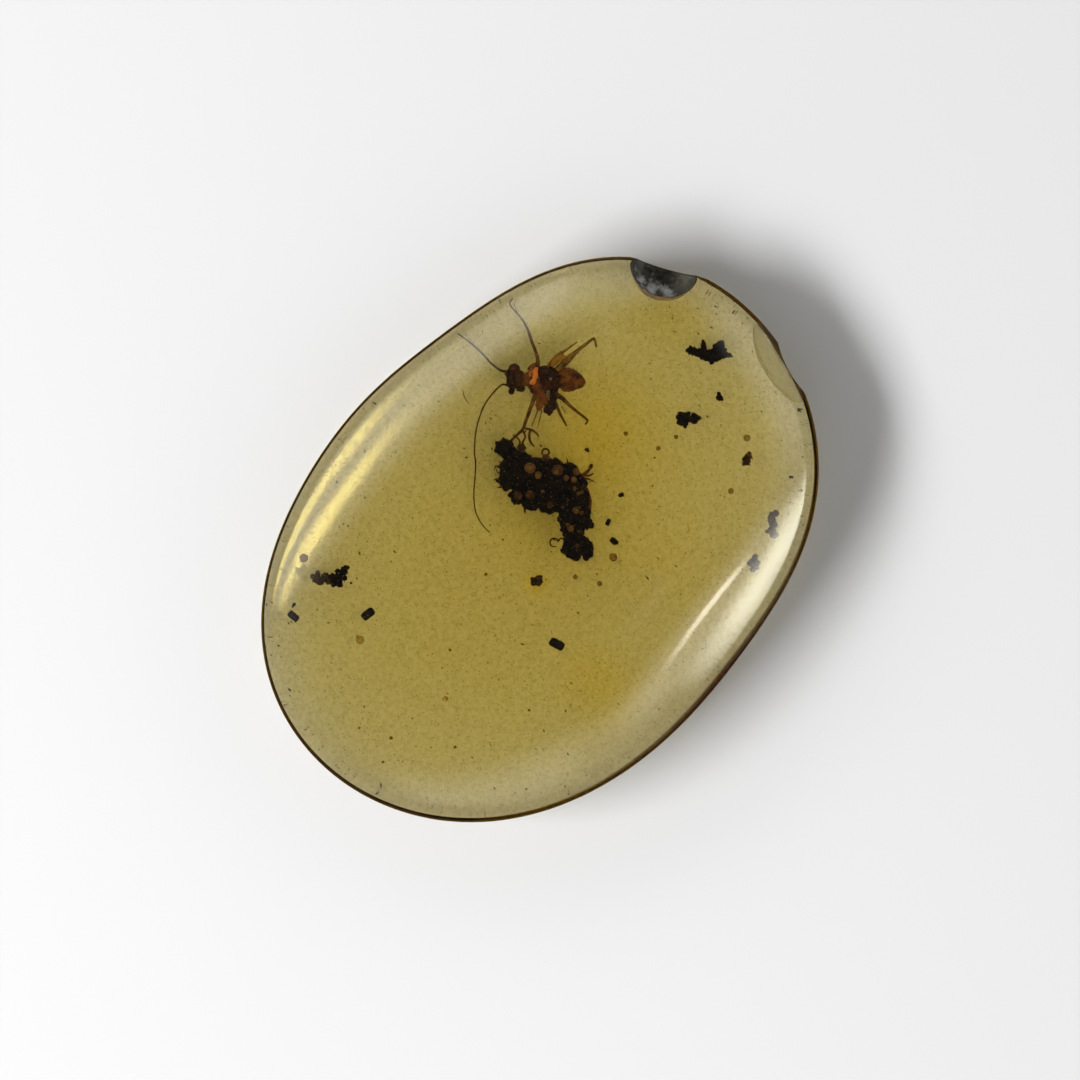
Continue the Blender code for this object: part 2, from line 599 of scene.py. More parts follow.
@dataclass(frozen=True)
class AmberFinish:
    """Clear resin: plain refraction and absorption, under a hand polish, with painted shade over the rim
    and at the chips' lips.
    """

    absorption: Colour = (0.768, 0.665, 0.07)
    density_per_mm: float = 0.228
    clear: float = 0.015
    haze: float = 0.05
    base: float = 0.05
    relief: float = 0.0006
    # Painted shade: a near-black tint over the rim, darkest on the side where the floor lies in shadow.
    rind_tint: Colour = (0.060, 0.011, 0.0020)
    rim_lean: float = 3.5
    broken_tint: Colour = (0.76, 0.74, 0.50)
    chip_edge_shade_tint: Colour = (0.16, 0.14, 0.05)
    # Painted shade: a dark line along the chips' lips, its tint here and its span below.
    broken_roughness: float = 0.16
    cloud_tint: Colour = (0.89, 0.875, 0.80)
    cloud_grain: float = 5.0
    cloud_span: tuple[float, float] = (0.35, 0.60)
    chip_edge_span: tuple[float, float] = (0.2, 0.9)
    rim_span: tuple[float, float] = (0.2, 0.35)
    stain_tint: Colour = (1.0, 0.93, 0.55)
    stains: tuple[Stain, ...] = (
        Stain((2.2, 4.3), 3.6, 0.75), Stain((2.0, -5.3), 2.2, 0.7),
        Stain((-0.22, -1.55), 0.75, 0.9), Stain((5.0, 9.0), 2.6, 0.6),
        Stain((0.8, 1.4), 4.0, 0.5), Stain((4.6, -0.8), 3.0, 0.25))

    def make(self, effects: Effects, sight: "Sight") -> bpy.types.Material:
        """Build the material, with its stains set on lines of sight.

        Args:
            effects: the shared node groups.
            sight: lines of sight that the stains stand on.

        Returns:
            The material.
        """
        material, graph, shader, output = new_material("clear_amber")
        shader.inputs["Transmission Weight"].default_value = 1.0
        shader.inputs["IOR"].default_value = AMBER_IOR
        colour: object = (1.0, 1.0, 1.0, 1.0)
        for stain in self.stains:
            middle = sight.to_world(np.array([(*stain.seen, 0.0)]))[0] * MM
            spot = graph.place(effects.spot, {"Middle": tuple(middle),
                                              "Radius": stain.radius * MM})
            share = graph.maths("MULTIPLY", spot.outputs["Mask"], stain.strength)
            colour = graph.mix(share, colour, graph.mix(1.0, colour, opaque(self.stain_tint),
                                                        "MULTIPLY"))
        clouds = graph.node("TexNoise", {"Scale": self.cloud_grain / MM, "Detail": 2.0})
        graph.link(graph.node("TexCoord").outputs["Object"], clouds.inputs["Vector"])
        clouded = graph.mix(1.0, colour, opaque(self.cloud_tint), "MULTIPLY")
        colour = graph.mix(graph.ramp(clouds.outputs["Fac"], *self.cloud_span), clouded,
                           colour)
        broken = graph.node("Attribute", attribute_name="broken").outputs["Fac"]
        chip_edge = graph.node("Attribute", attribute_name="chip_edge").outputs["Fac"]
        chip_edge = graph.maths("MULTIPLY", graph.ramp(chip_edge, *self.chip_edge_span), broken)
        rind = graph.node("Attribute", attribute_name="rind").outputs["Fac"]
        colour = graph.mix(broken, colour, opaque(self.broken_tint))
        # Painted shade along the chips' lips, on the broken faces only.
        colour = graph.mix(chip_edge, colour, opaque(self.chip_edge_shade_tint))
        # Painted shade over the rim.
        colour = graph.mix(rind, colour, opaque(self.rind_tint))
        graph.link(colour, shader.inputs["Base Color"])
        polish = graph.place(effects.polish, {"Haze": self.haze, "Clear": self.clear,
                                              "Base": self.base})
        rough = graph.maths("MAXIMUM", polish.outputs["Roughness"],
                            graph.maths("MULTIPLY", broken, self.broken_roughness))
        graph.link(rough, shader.inputs["Roughness"])
        add_bump(graph, shader, polish.outputs["Height"], self.relief,
                 self._rim_normal(graph, rind))
        absorb = graph.node("VolumeAbsorption", {"Color": opaque(self.absorption),
                                                 "Density": self.density_per_mm / MM})
        graph.link(absorb.outputs["Volume"], output.inputs["Volume"])
        return material

    def _rim_normal(self, graph: Graph, rind: bpy.types.NodeSocket) -> bpy.types.NodeSocket:
        """Lean the outer normal up over the painted rim shade, as the finely rounded edge there does.

        Args:
            graph: the material's node graph.
            rind: strength of the painted rim shade.

        Returns:
            The leaning normal.
        """
        surface = graph.node("NewGeometry")
        outside = graph.maths("SUBTRACT", 1.0, surface.outputs["Backfacing"])
        lean = graph.ramp(rind, *self.rim_span, 0.0, self.rim_lean)
        lift = graph.maths("MULTIPLY", lean, outside)
        upward = graph.node("CombineXYZ")
        graph.link(lift, upward.inputs["Z"])
        total = graph.node("VectorMath", operation="ADD")
        graph.link(surface.outputs["Normal"], total.inputs[0])
        graph.link(upward.outputs["Vector"], total.inputs[1])
        whole = graph.node("VectorMath", operation="NORMALIZE")
        graph.link(total.outputs["Vector"], whole.inputs[0])
        return whole.outputs["Vector"]


@dataclass(frozen=True)
class SealedFinish:
    """Skin, crumb or resin sealed in the amber: two mottled colours, fine relief, part clear, and a
    painted glow where glow is set.
    """

    name: str
    dark: Colour
    pale: Colour
    grain_per_mm: float = 4.0
    tint: float = 0.25
    roughness: float = 0.5
    relief: float = 0.01
    thin: float = 1.0
    thick: float = 1.0
    # Painted glow: light that the skin gives off, though it is no lamp.
    glow: float = 0.0
    gloss: float = 0.06

    def make(self, effects: Effects) -> bpy.types.Material:
        """Build the material: colour, alpha and relief all follow the mottle group.

        Args:
            effects: the shared node groups.

        Returns:
            The material.
        """
        material, graph, shader, _ = new_material(self.name)
        mottle = graph.place(effects.mottle, {"Grain": self.grain_per_mm / MM,
                                              "Dark": opaque(self.dark),
                                              "Pale": opaque(self.pale), "Tint": self.tint})
        graph.link(mottle.outputs["Colour"], shader.inputs["Base Color"])
        shader.inputs["Roughness"].default_value = self.roughness
        shader.inputs["Specular IOR Level"].default_value = self.gloss
        if self.thin < 1.0 or self.thick < 1.0:
            share = graph.ramp(mottle.outputs["Mask"], 0.0, 1.0, self.thick, self.thin)
            graph.link(share, shader.inputs["Alpha"])
        # Painted glow: the mottle's colour given off as light.
        if self.glow:
            graph.link(mottle.outputs["Colour"], shader.inputs["Emission Color"])
            shader.inputs["Emission Strength"].default_value = self.glow
        add_bump(graph, shader, mottle.outputs["Height"], self.relief)
        return material


# ---------------------------------------------------------------- the drop of amber


@dataclass
class Drop:
    """The amber itself, and the heights and lines of sight that everything else uses."""

    radii: tuple[float, ...] = (12.46, 11.75, 9.62, 9.01, 9.79, 11.64,
                                12.49, 11.55, 9.96, 9.09, 9.75, 11.55)
    girdle: float = 2.3
    wall_rise: float = 0.8
    wall_start: float = 0.93
    wall_corner: float = 3.0
    dome_rise: float = 2.7
    dome_power: float = 2.3
    foot_start: float = 0.95
    foot_corner: float = 4.0
    columns: int = 300
    dome_rows: int = 56
    wall_rows: int = 44
    foot_rows: int = 20
    base_rows: int = 10
    wave_height: float = 0.012
    wave_size: float = 4.5
    shift: np.ndarray = field(default_factory=lambda: np.zeros(2))

    def outline(self, angles: np.ndarray) -> np.ndarray:
        """Radius of the widest section: the trigonometric curve through the radii.

        Args:
            angles: compass angles in radians.

        Returns:
            The radius at each angle, in mm.
        """
        count = len(self.radii)
        waves = np.fft.rfft(self.radii) / count
        radius = np.full(angles.shape, waves[0].real)
        for order in range(1, count // 2):
            radius += 2.0 * (waves[order].real * np.cos(order * angles)
                             - waves[order].imag * np.sin(order * angles))
        return radius + waves[-1].real * np.cos(count // 2 * angles)

    def centre_on(self, low: np.ndarray, high: np.ndarray) -> None:
        """Shift the outline so that its box has the CAD box's middle."""
        ring = self._girdle_ring()
        self.shift = (low[:2] + high[:2]) / 2 - (ring.max(0) + ring.min(0)) / 2

    def _girdle_ring(self) -> np.ndarray:
        """Plan points (columns, 2) of the widest section.

        Returns:
            The points, in mm.
        """
        angles = np.linspace(0.0, 2 * math.pi, self.columns, endpoint=False)
        radius = self.outline(angles)
        return np.stack((radius * np.cos(angles), radius * np.sin(angles)), 1) + self.shift

    def share(self, plan: np.ndarray) -> np.ndarray:
        """Distance of (..., 2) plan points from the middle, as a share of the outline."""
        x, y = plan[..., 0] - self.shift[0], plan[..., 1] - self.shift[1]
        return np.hypot(x, y) / self.outline(np.arctan2(y, x))

    def inset(self, plan: np.ndarray) -> np.ndarray:
        """How far (..., 2) plan points lie inside the outline, along their radius."""
        x, y = plan[..., 0] - self.shift[0], plan[..., 1] - self.shift[1]
        return self.outline(np.arctan2(y, x)) - np.hypot(x, y)

    def top(self, plan: np.ndarray) -> np.ndarray:
        """Height of the upper surface: steep wall with a round corner, plus a power dome.

        Args:
            plan: (..., 2) points in mm.

        Returns:
            (...) heights in mm.
        """
        share = np.clip(self.share(plan), 0.0, 1.0)
        out = np.clip((share - self.wall_start) / (1 - self.wall_start), 0.0, 1.0)
        return (self.girdle + self.wall_rise * np.sqrt(1 - out ** self.wall_corner)
                + self.dome_rise * (1 - share ** self.dome_power))

    def bottom(self, plan: np.ndarray) -> np.ndarray:
        """Height of the lower surface: flat base with a rounded foot.

        Args:
            plan: (..., 2) points in mm.

        Returns:
            (...) heights in mm.
        """
        share = np.clip(self.share(plan), 0.0, 1.0)
        out = np.clip((share - self.foot_start) / (1 - self.foot_start), 0.0, 1.0)
        return self.girdle * (1 - np.sqrt(1 - out ** self.foot_corner))

    def _profile(self) -> np.ndarray:
        """(share, height) pairs from the top's middle, over the girdle, to the base's.

        Returns:
            (rows, 2) shares and heights.
        """
        inner = np.linspace(0.0, self.wall_start, self.dome_rows, endpoint=False)
        dome = np.stack((inner, self.girdle + self.wall_rise
                         + self.dome_rise * (1 - inner ** self.dome_power)), 1)
        turn = np.linspace(0.0, math.pi / 2, self.wall_rows)
        share = (self.wall_start
                 + (1 - self.wall_start) * np.sin(turn) ** (2 / self.wall_corner))
        wall = np.stack((share, self.girdle + self.wall_rise * np.cos(turn)
                         + self.dome_rise * (1 - share ** self.dome_power)), 1)
        turn = np.linspace(0.0, math.pi / 2, self.foot_rows)[1:]
        foot = np.stack((self.foot_start + (1 - self.foot_start)
                         * np.abs(np.cos(turn)) ** (2 / self.foot_corner),
                         self.girdle * (1 - np.sin(turn))), 1)
        base = np.stack((np.linspace(self.foot_start, 0.0, self.base_rows)[1:],
                         np.zeros(self.base_rows - 1)), 1)
        return np.vstack((dome, wall, foot, base))

    def skin(self) -> Skin:
        """Scale the outline along the profile, and let the polish wave by a hair.

        Returns:
            The whole drop's skin.
        """
        profile = self._profile()
        ring = self._girdle_ring() - self.shift
        rings = np.empty((len(profile), self.columns, 3))
        rings[..., :2] = ring * profile[:, :1, None] + self.shift
        rings[..., 2] = profile[:, 1:]
        upper = profile[:, 1] > self.girdle
        wave = Lumpiness(self.wave_size, 3).at(rings[upper]) * self.wave_height
        fade = np.clip((1.0 - profile[upper, :1]) * 8.0, 0.0, 1.0)
        rings[upper, :, 2] += wave * fade
        rings[0] = rings[0].mean(0)
        return Skin.closed(rings)


@dataclass
class Sight:
    """The eye above the drop, and the turned plan in which sealed things are placed."""

    drop: Drop
    long_axis_degrees: float = 46.0
    frame_width: float = 43.2
    lens: float = 100.0
    sensor: float = 36.0
    aim_seen: Seen = (-0.064, 0.12)

    def to_world(self, seen: np.ndarray) -> np.ndarray:
        """Turn plan points (N, 3) into the object's own axes."""
        return turned(np.asarray(seen, float), -self.long_axis_degrees)

    def eye(self) -> np.ndarray:
        """Place of the eye, from which the frame is frame_width wide at the girdle."""
        height = self.frame_width * self.lens / self.sensor + self.drop.girdle
        return self.to_world(np.array([(*self.aim_seen, height)]))[0]

    def sink(self, seen: np.ndarray, depth: np.ndarray | float) -> np.ndarray:
        """Carry seen points down a bent line of sight into the amber.

        The line runs from the eye through the point at girdle height, meets the top
        surface, bends there by Snell's law, and goes on to the wanted height.

        Args:
            seen: (N, 2) places in the turned plan.
            depth: height above the base, for each point or for all.

        Returns:
            (N, 3) points in the object's own axes, in mm.
        """
        seen = np.atleast_2d(np.asarray(seen, float))
        at_girdle = self.to_world(np.column_stack((seen, np.full(len(seen), self.drop.girdle))))
        eye = self.eye()
        ray = unit(at_girdle - eye)
        reach = (self.drop.top(at_girdle[:, :2]) - eye[2]) / ray[:, 2]
        for _ in range(6):
            entry = eye + ray * reach[:, None]
            reach = (self.drop.top(entry[:, :2]) - eye[2]) / ray[:, 2]
        entry = eye + ray * reach[:, None]
        step = 0.02
        slope = [(self.drop.top(entry[:, :2] + move) - self.drop.top(entry[:, :2] - move))
                 / (2 * step) for move in (np.array((step, 0.0)), np.array((0.0, step)))]
        normal = unit(np.stack((-slope[0], -slope[1], np.ones(len(entry))), 1))
        ratio = 1.0 / AMBER_IOR
        facing = -(ray * normal).sum(1, keepdims=True)
        inner = np.sqrt(1 - ratio ** 2 * (1 - facing ** 2))
        bent = ratio * ray + (ratio * facing - inner) * normal
        drop_by = (np.broadcast_to(depth, len(entry)) - entry[:, 2]) / bent[:, 2]
        return entry + bent * drop_by[:, None]


@dataclass
class Scoop:
    """A chip in the rim: an ellipsoid that is cut away, with faint shell-like ripples."""

    middle: Point
    half: Point
    degrees: float
    ripple: float = 0.0
    ripples: float = 9.0

    def surface(self, directions: np.ndarray) -> np.ndarray:
        """Points of the ellipsoid in (..., 3) directions from its middle.

        Args:
            directions: (..., 3) unit vectors.

        Returns:
            (..., 3) points in mm.
        """
        local = turned(directions, -self.degrees)
        reach = 1.0 / np.linalg.norm(local / np.array(self.half), axis=-1, keepdims=True)
        wave = 1.0 + self.ripple * np.sin(local[..., 1:2] * self.ripples
                                          + 3.0 * local[..., 2:3] ** 2 * self.ripples)
        return np.array(self.middle) + directions * reach * wave

    def length(self, points: np.ndarray) -> np.ndarray:
        """Distance of (..., 3) points from the middle, as a share of the ellipsoid's reach."""
        local = turned(points - np.array(self.middle), -self.degrees)
        return np.linalg.norm(local / np.array(self.half), axis=-1)

    def skin(self, rows: int = 100) -> Skin:
        """The whole ellipsoid, as a cutter."""
        return Skin.closed(self.surface(sphere_rings(rows, 2 * rows)))


# ---------------------------------------------------------------- making the pieces


@dataclass
class Workshop:
    """Turns skins into finished pieces that ride on the frame."""

    effects: Effects
    sight: Sight
    made: list[str] = field(default_factory=list)

    @staticmethod
    def mesh_object(name: str, skin: Skin, smooth: bool = True) -> bpy.types.Object:
        """Put a skin into a new object at the origin.

        Args:
            name: the object's name.
            skin: its surface in mm.
            smooth: whether it is shaded smooth.

        Returns:
            The object, linked to the scene.
        """
        mesh = bpy.data.meshes.new(name)
        corners = np.concatenate((skin.quads.ravel(), skin.tris.ravel()))
        sizes = np.concatenate((np.full(len(skin.quads), 4), np.full(len(skin.tris), 3)))
        mesh.vertices.add(len(skin.points))
        mesh.vertices.foreach_set("co", (skin.points * MM).astype(np.float32).ravel())
        mesh.loops.add(len(corners))
        mesh.loops.foreach_set("vertex_index", corners.astype(np.int32))
        mesh.polygons.add(len(sizes))
        mesh.polygons.foreach_set("loop_start", (np.cumsum(sizes) - sizes).astype(np.int32))
        mesh.update(calc_edges=True)
        mesh.validate()
        tint = mesh.attributes.new("tint", "FLOAT", "POINT")
        tint.data.foreach_set("value", skin.tint.astype(np.float32))
        if smooth:
            mesh.shade_smooth()
        made = bpy.data.objects.new(name, mesh)
        bpy.context.scene.collection.objects.link(made)
        return made

    def piece(self, name: str, skin: Skin, finish: bpy.types.Material | SealedFinish) -> bpy.types.Object:
        """Make a piece, dress it and let it ride on the drop.

        Args:
            name: the piece's name.
            skin: its surface.
            finish: a material, or the finish that makes one.

        Returns:
            The piece.
        """
        made = self.mesh_object(name, skin)
        material = finish if isinstance(finish, bpy.types.Material) else finish.make(self.effects)
        made.data.materials.append(material)
        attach(made, Body.ROOT.value)
        self.made.append(name)
        LOG.info("%s: %d faces", name, len(made.data.polygons))
        return made


@dataclass
class AmberBody:
    """The polished drop with its two chips, and the film of painted shade and reflection in the half-moon
    one.
    """

    drop: Drop
    half_moon: Scoop = field(default_factory=lambda: Scoop(
        (11.476, 4.191, 3.3), (1.70, 1.42, 0.98), 28.5, 0.004, 7.0))
    shell_chip: Scoop = field(default_factory=lambda: Scoop(
        (12.17, -1.93, 3.9), (1.22, 2.30, 1.58), -16.1, 0.006, 5.0))
    edge_nick: Scoop = field(default_factory=lambda: Scoop(
        (12.343, -2.686, 2.3), (0.60, 1.90, 2.60), -16.0))
    flat_edge: Scoop = field(default_factory=lambda: Scoop(
        (11.887, 4.268, 2.3), (0.60, 4.20, 2.60), 27.7))
    crease_degrees: float = 24.0
    broken_reach: float = 0.02
    broken_depth: float = 0.018
    # Depth under the top over which the painted shade along the chips' lips fades.
    chip_edge_width: float = 0.09
    # Painted rim shade: its reach and full depth inside the outline, its fade under the girdle, and its
    # thinning and paling away from the shadowed side.
    rind_reach: float = 0.38
    rind_full: float = 0.17
    rind_below: float = 0.25
    rind_thinning: float = 0.5
    shadow_side_degrees: float = -84.0
    lit_side_paling: float = 0.35
    side_power: float = 0.6
    film_lean: float = 0.55
    film_widest: float = 2.6
    film_trim: float = 0.012
    film_gap: float = 0.012
    film_thickness: float = 0.03
    film_rows: int = 40
    film_columns: int = 120
    # Painted shade: the dark film that lines the half-moon chip.
    film: SealedFinish = SealedFinish(
        "mineral_film", (0.018, 0.015, 0.008), (0.055, 0.050, 0.032), 1.4, 0.0, 0.45, 0.03,
        gloss=0.25)
    # Pale patches of painted reflection on the film, and painted shade along its edge.
    reflection_tint: Colour = (0.42, 0.43, 0.40)
    reflection_grain: float = 3.0
    reflection_patches: tuple[tuple[Seen, float], ...] = (
        ((4.30, 10.16), 0.75), ((5.0, 9.98), 0.62), ((4.0, 10.5), 0.4))
    patch_strength: float = 0.34
    film_edge_shade_tint: Colour = (0.006, 0.006, 0.004)

    def build(self, shop: Workshop) -> None:
        """Make the drop, cut the chips and the nick, and line the half-moon.

        Args:
            shop: the workshop that makes the pieces.
        """
        amber = shop.mesh_object("amber_drop", self.drop.skin())
        cutters = []
        for name, scoop in self._scoops().items():
            cutter = shop.mesh_object(name + "_cutter", scoop.skin())
            cut = amber.modifiers.new(name, "BOOLEAN")
            cut.operation = "DIFFERENCE"
            cut.solver = "EXACT"
            cut.object = cutter
            cutters.append(cutter)
        bpy.context.view_layer.update()
        shape = bpy.data.meshes.new_from_object(
            amber.evaluated_get(bpy.context.evaluated_depsgraph_get()))
        for thing in (amber, *cutters):
            bpy.data.objects.remove(thing)
        shape.name = "amber_body"
        shape.materials.clear()
        shape.shade_smooth()
        shape.set_sharp_from_angle(angle=math.radians(self.crease_degrees))
        self._mark(shape)
        body = bpy.data.objects.new("amber_body", shape)
        bpy.context.scene.collection.objects.link(body)
        shape.materials.append(AmberFinish().make(shop.effects, shop.sight))
        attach(body, Body.ROOT.value)
        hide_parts("amber")
        shop.made.append(body.name)
        LOG.info("%s: %d faces", body.name, len(shape.polygons))
        # The film lining the half-moon chip: painted shade with patches of painted reflection.
        shop.piece("half_moon_film", self._film_skin(), self._film_material(shop))

    def _scoops(self) -> dict[str, Scoop]:
        """Every scoop that is cut out of the drop, by name."""
        return {"half_moon": self.half_moon, "flat_edge": self.flat_edge,
                "shell_chip": self.shell_chip, "edge_nick": self.edge_nick}

    def _mark(self, shape: bpy.types.Mesh) -> None:
        """Mark the painted shade over the rim and at the chips' edges by point, and the broken faces by
        face.

        Over the painted rim shade the clear part falls off as the cube of a smooth step of the
        distance from the outline. The rim shade is thinner and paler away from the side where the
        floor lies in shadow, by a power of half of one minus the compass cosine, and fades out
        just under the girdle. A face is broken where its middle lies under the drop's top and,
        over a scoop's half sizes in its own axes, at a length near 1. The edge mark, a painted
        shade along the chips' lips, falls from 1 to 0 with the depth under the top.

        Args:
            shape: the mesh of the cut amber.
        """
        points = np.empty(len(shape.vertices) * 3)
        shape.vertices.foreach_get("co", points)
        plan = points.reshape(-1, 3)[:, :2] / MM
        inset = self.drop.inset(plan)
        # Painted rim shade, darkest towards the side where the floor lies in shadow.
        compass = np.arctan2(plan[:, 1], plan[:, 0]) - math.radians(self.shadow_side_degrees)
        away = (0.5 - 0.5 * np.cos(compass)) ** self.side_power
        inset = inset / (1.0 - self.rind_thinning * away)
        step = np.clip((self.rind_reach - inset) / (self.rind_reach - self.rind_full), 0.0, 1.0)
        rind = shape.attributes.new("rind", "FLOAT", "POINT")
        clear = (1.0 - step ** 2 * (3 - 2 * step)) ** 3
        strength = 1.0 - self.lit_side_paling * away
        height = points.reshape(-1, 3)[:, 2] / MM - self.drop.girdle
        strength *= np.clip(1.0 + height / self.rind_below, 0.0, 1.0)
        rind.data.foreach_set("value", ((1.0 - clear) * strength).astype(np.float32))
        middles = np.empty(len(shape.polygons) * 3)
        shape.polygons.foreach_get("center", middles)
        middles = middles.reshape(-1, 3) / MM
        near = np.zeros(len(middles), bool)
        for scoop in self._scoops().values():
            near |= np.abs(scoop.length(middles) - 1.0) < self.broken_reach
        near &= self.drop.top(middles[:, :2]) - middles[:, 2] > self.broken_depth
        broken = shape.attributes.new("broken", "FLOAT", "FACE")
        broken.data.foreach_set("value", near.astype(np.float32))
        # Painted shade along the chips' lips: 1 at the top surface, 0 a chip edge width under it.
        depth = self.drop.top(plan) - points.reshape(-1, 3)[:, 2] / MM
        edge = shape.attributes.new("chip_edge", "FLOAT", "POINT")
        edge.data.foreach_set("value", np.clip(
            1.0 - depth / self.chip_edge_width, 0.0, 1.0).astype(np.float32))

    def _film_skin(self) -> Skin:
        """Line the half-moon scoop with a thin shell, trimmed where it meets the skin.

        Round an axis that points into the amber, each direction of the ellipsoid is
        followed outwards by bisection to the last angle that is still under the drop's
        top. The shell is that patch twice, the nearer time a film's thickness inside,
        with both edges joined.

        Returns:
            The film's closed skin.
        """
        out = unit(np.array((*self.half_moon.middle[:2], 0.0)))
        axis = unit(np.array((-out[0] * 0.9, -out[1] * 0.9, -self.film_lean)))
        level = unit(np.cross(axis, np.array((0.0, 0.0, 1.0))))
        upright = np.cross(level, axis)
        turn = np.linspace(0.0, 2 * math.pi, self.film_columns, endpoint=False)
        around = np.cos(turn)[:, None] * level + np.sin(turn)[:, None] * upright
        low, high = np.zeros(self.film_columns), np.full(self.film_columns, self.film_widest)
        for _ in range(28):
            middle = (low + high) / 2
            point = self.half_moon.surface(np.cos(middle)[:, None] * axis
                                           + np.sin(middle)[:, None] * around)
            inside = ((self.drop.top(point[:, :2]) > point[:, 2])
                      & (self.drop.share(point[:, :2]) < 1.0)
                      & (self.flat_edge.length(point) > 1.0))
            low, high = np.where(inside, middle, low), np.where(inside, high, middle)
        share = np.linspace(0.0, 1.0, self.film_rows)[:, None]
        polar = (share * (low - self.film_trim))[..., None]
        directions = np.cos(polar) * axis + np.sin(polar) * around[None]
        wall = self.half_moon.surface(directions)
        grains = Lumpiness(0.28, 21).at(wall)[..., None]
        far = wall - directions * self.film_gap
        fade = np.clip((1.0 - share) * 6.0, 0.0, 1.0)[..., None]
        near = far - directions * self.film_thickness * (1.0 + 0.5 * grains * fade)
        edge = np.broadcast_to(share, wall.shape[:2])
        return Skin.closed(np.concatenate((far, near[::-1])), np.concatenate((edge, edge[::-1])))

    def _film_material(self, shop: Workshop) -> bpy.types.Material:
        """Dark film of painted shade, with pale speckled patches of painted reflection in soft spots, and
        painted shade along its edge.

        Args:
            shop: the workshop that makes the pieces.

        Returns:
            The material.
        """
        material = self.film.make(shop.effects)
        graph = Graph(material.node_tree)
        shader = material.node_tree.nodes["Principled BSDF"]
        colour = shader.inputs["Base Color"].links[0].from_socket
        grains = graph.node("TexNoise", {"Scale": self.reflection_grain / MM, "Detail": 3.0,
                                         "Roughness": 0.6})
        graph.link(graph.node("TexCoord").outputs["Object"], grains.inputs["Vector"])
        patches: object = 0.0
        for seen, radius in self.reflection_patches:
            middle = shop.sight.to_world(np.array([(*seen, 0.0)]))[0] * MM
            spot = graph.place(shop.effects.spot, {"Middle": tuple(middle), "Radius": radius * MM})
            patches = graph.maths("MAXIMUM", patches, spot.outputs["Mask"])
        lift = graph.maths("MULTIPLY", patches, self.patch_strength)
        speckle = graph.maths("ADD", grains.outputs["Fac"], lift)
        # Pale patches of painted reflection.
        colour = graph.mix(graph.ramp(speckle, 0.60, 0.90), colour, opaque(self.reflection_tint))
        edge = graph.node("Attribute", attribute_name="tint").outputs["Fac"]
        # Painted shade along the film's edge.
        colour = graph.mix(graph.ramp(edge, 0.93, 1.0), colour, opaque(self.film_edge_shade_tint))
        graph.link(colour, shader.inputs["Base Color"])
        return material


@dataclass(frozen=True)
class Lump:
    """A rounded body part: middle (x, y seen, height), half sizes, turn and roughening."""

    at: Point
    half: Point
    degrees: float = 0.0
    rough: float = 0.0
    tint: float = 0.0


@dataclass(frozen=True)
class Limb:
    """A leg or feeler: points (x, y seen, height) and radii along it."""

    points: tuple[Point, ...]
    thick: tuple[float, ...]
    knots: float = 0.0
    tint: float = 0.0


def sink_points(sight: Sight, points: tuple[Point, ...]) -> np.ndarray:
    """Place (x, y seen, height) points in the amber."""
    table = np.array(points, float)
    return sight.sink(table[:, :2], table[:, 2])


def lump_skin(sight: Sight, lump: Lump, lump_size: float = 0.25, seed: int = 0,
              fine: int = 16) -> Skin:
    """Make one lump where it is seen, turned with the plan.

    Args:
        sight: lines of sight into the drop.
        lump: the lump.
        lump_size: size of its bumps in mm.
        seed: seed of the bumps.
        fine: rows of faces.

    Returns:
        The lump's skin.
    """
    middle = sink_points(sight, (lump.at,))[0]
    field_ = Lumpiness(lump_size, seed) if lump.rough else None
    return blob(middle, lump.half, lump.degrees - sight.long_axis_degrees, field_, lump.rough,
                fine, tint=lump.tint)


def limb_skin(sight: Sight, part: Limb, count: int = 40, sides: int = 10) -> Skin:
    """Make one limb along the points where it is seen."""
    return limb(sink_points(sight, part.points), part.thick, count, sides, part.knots, part.tint)


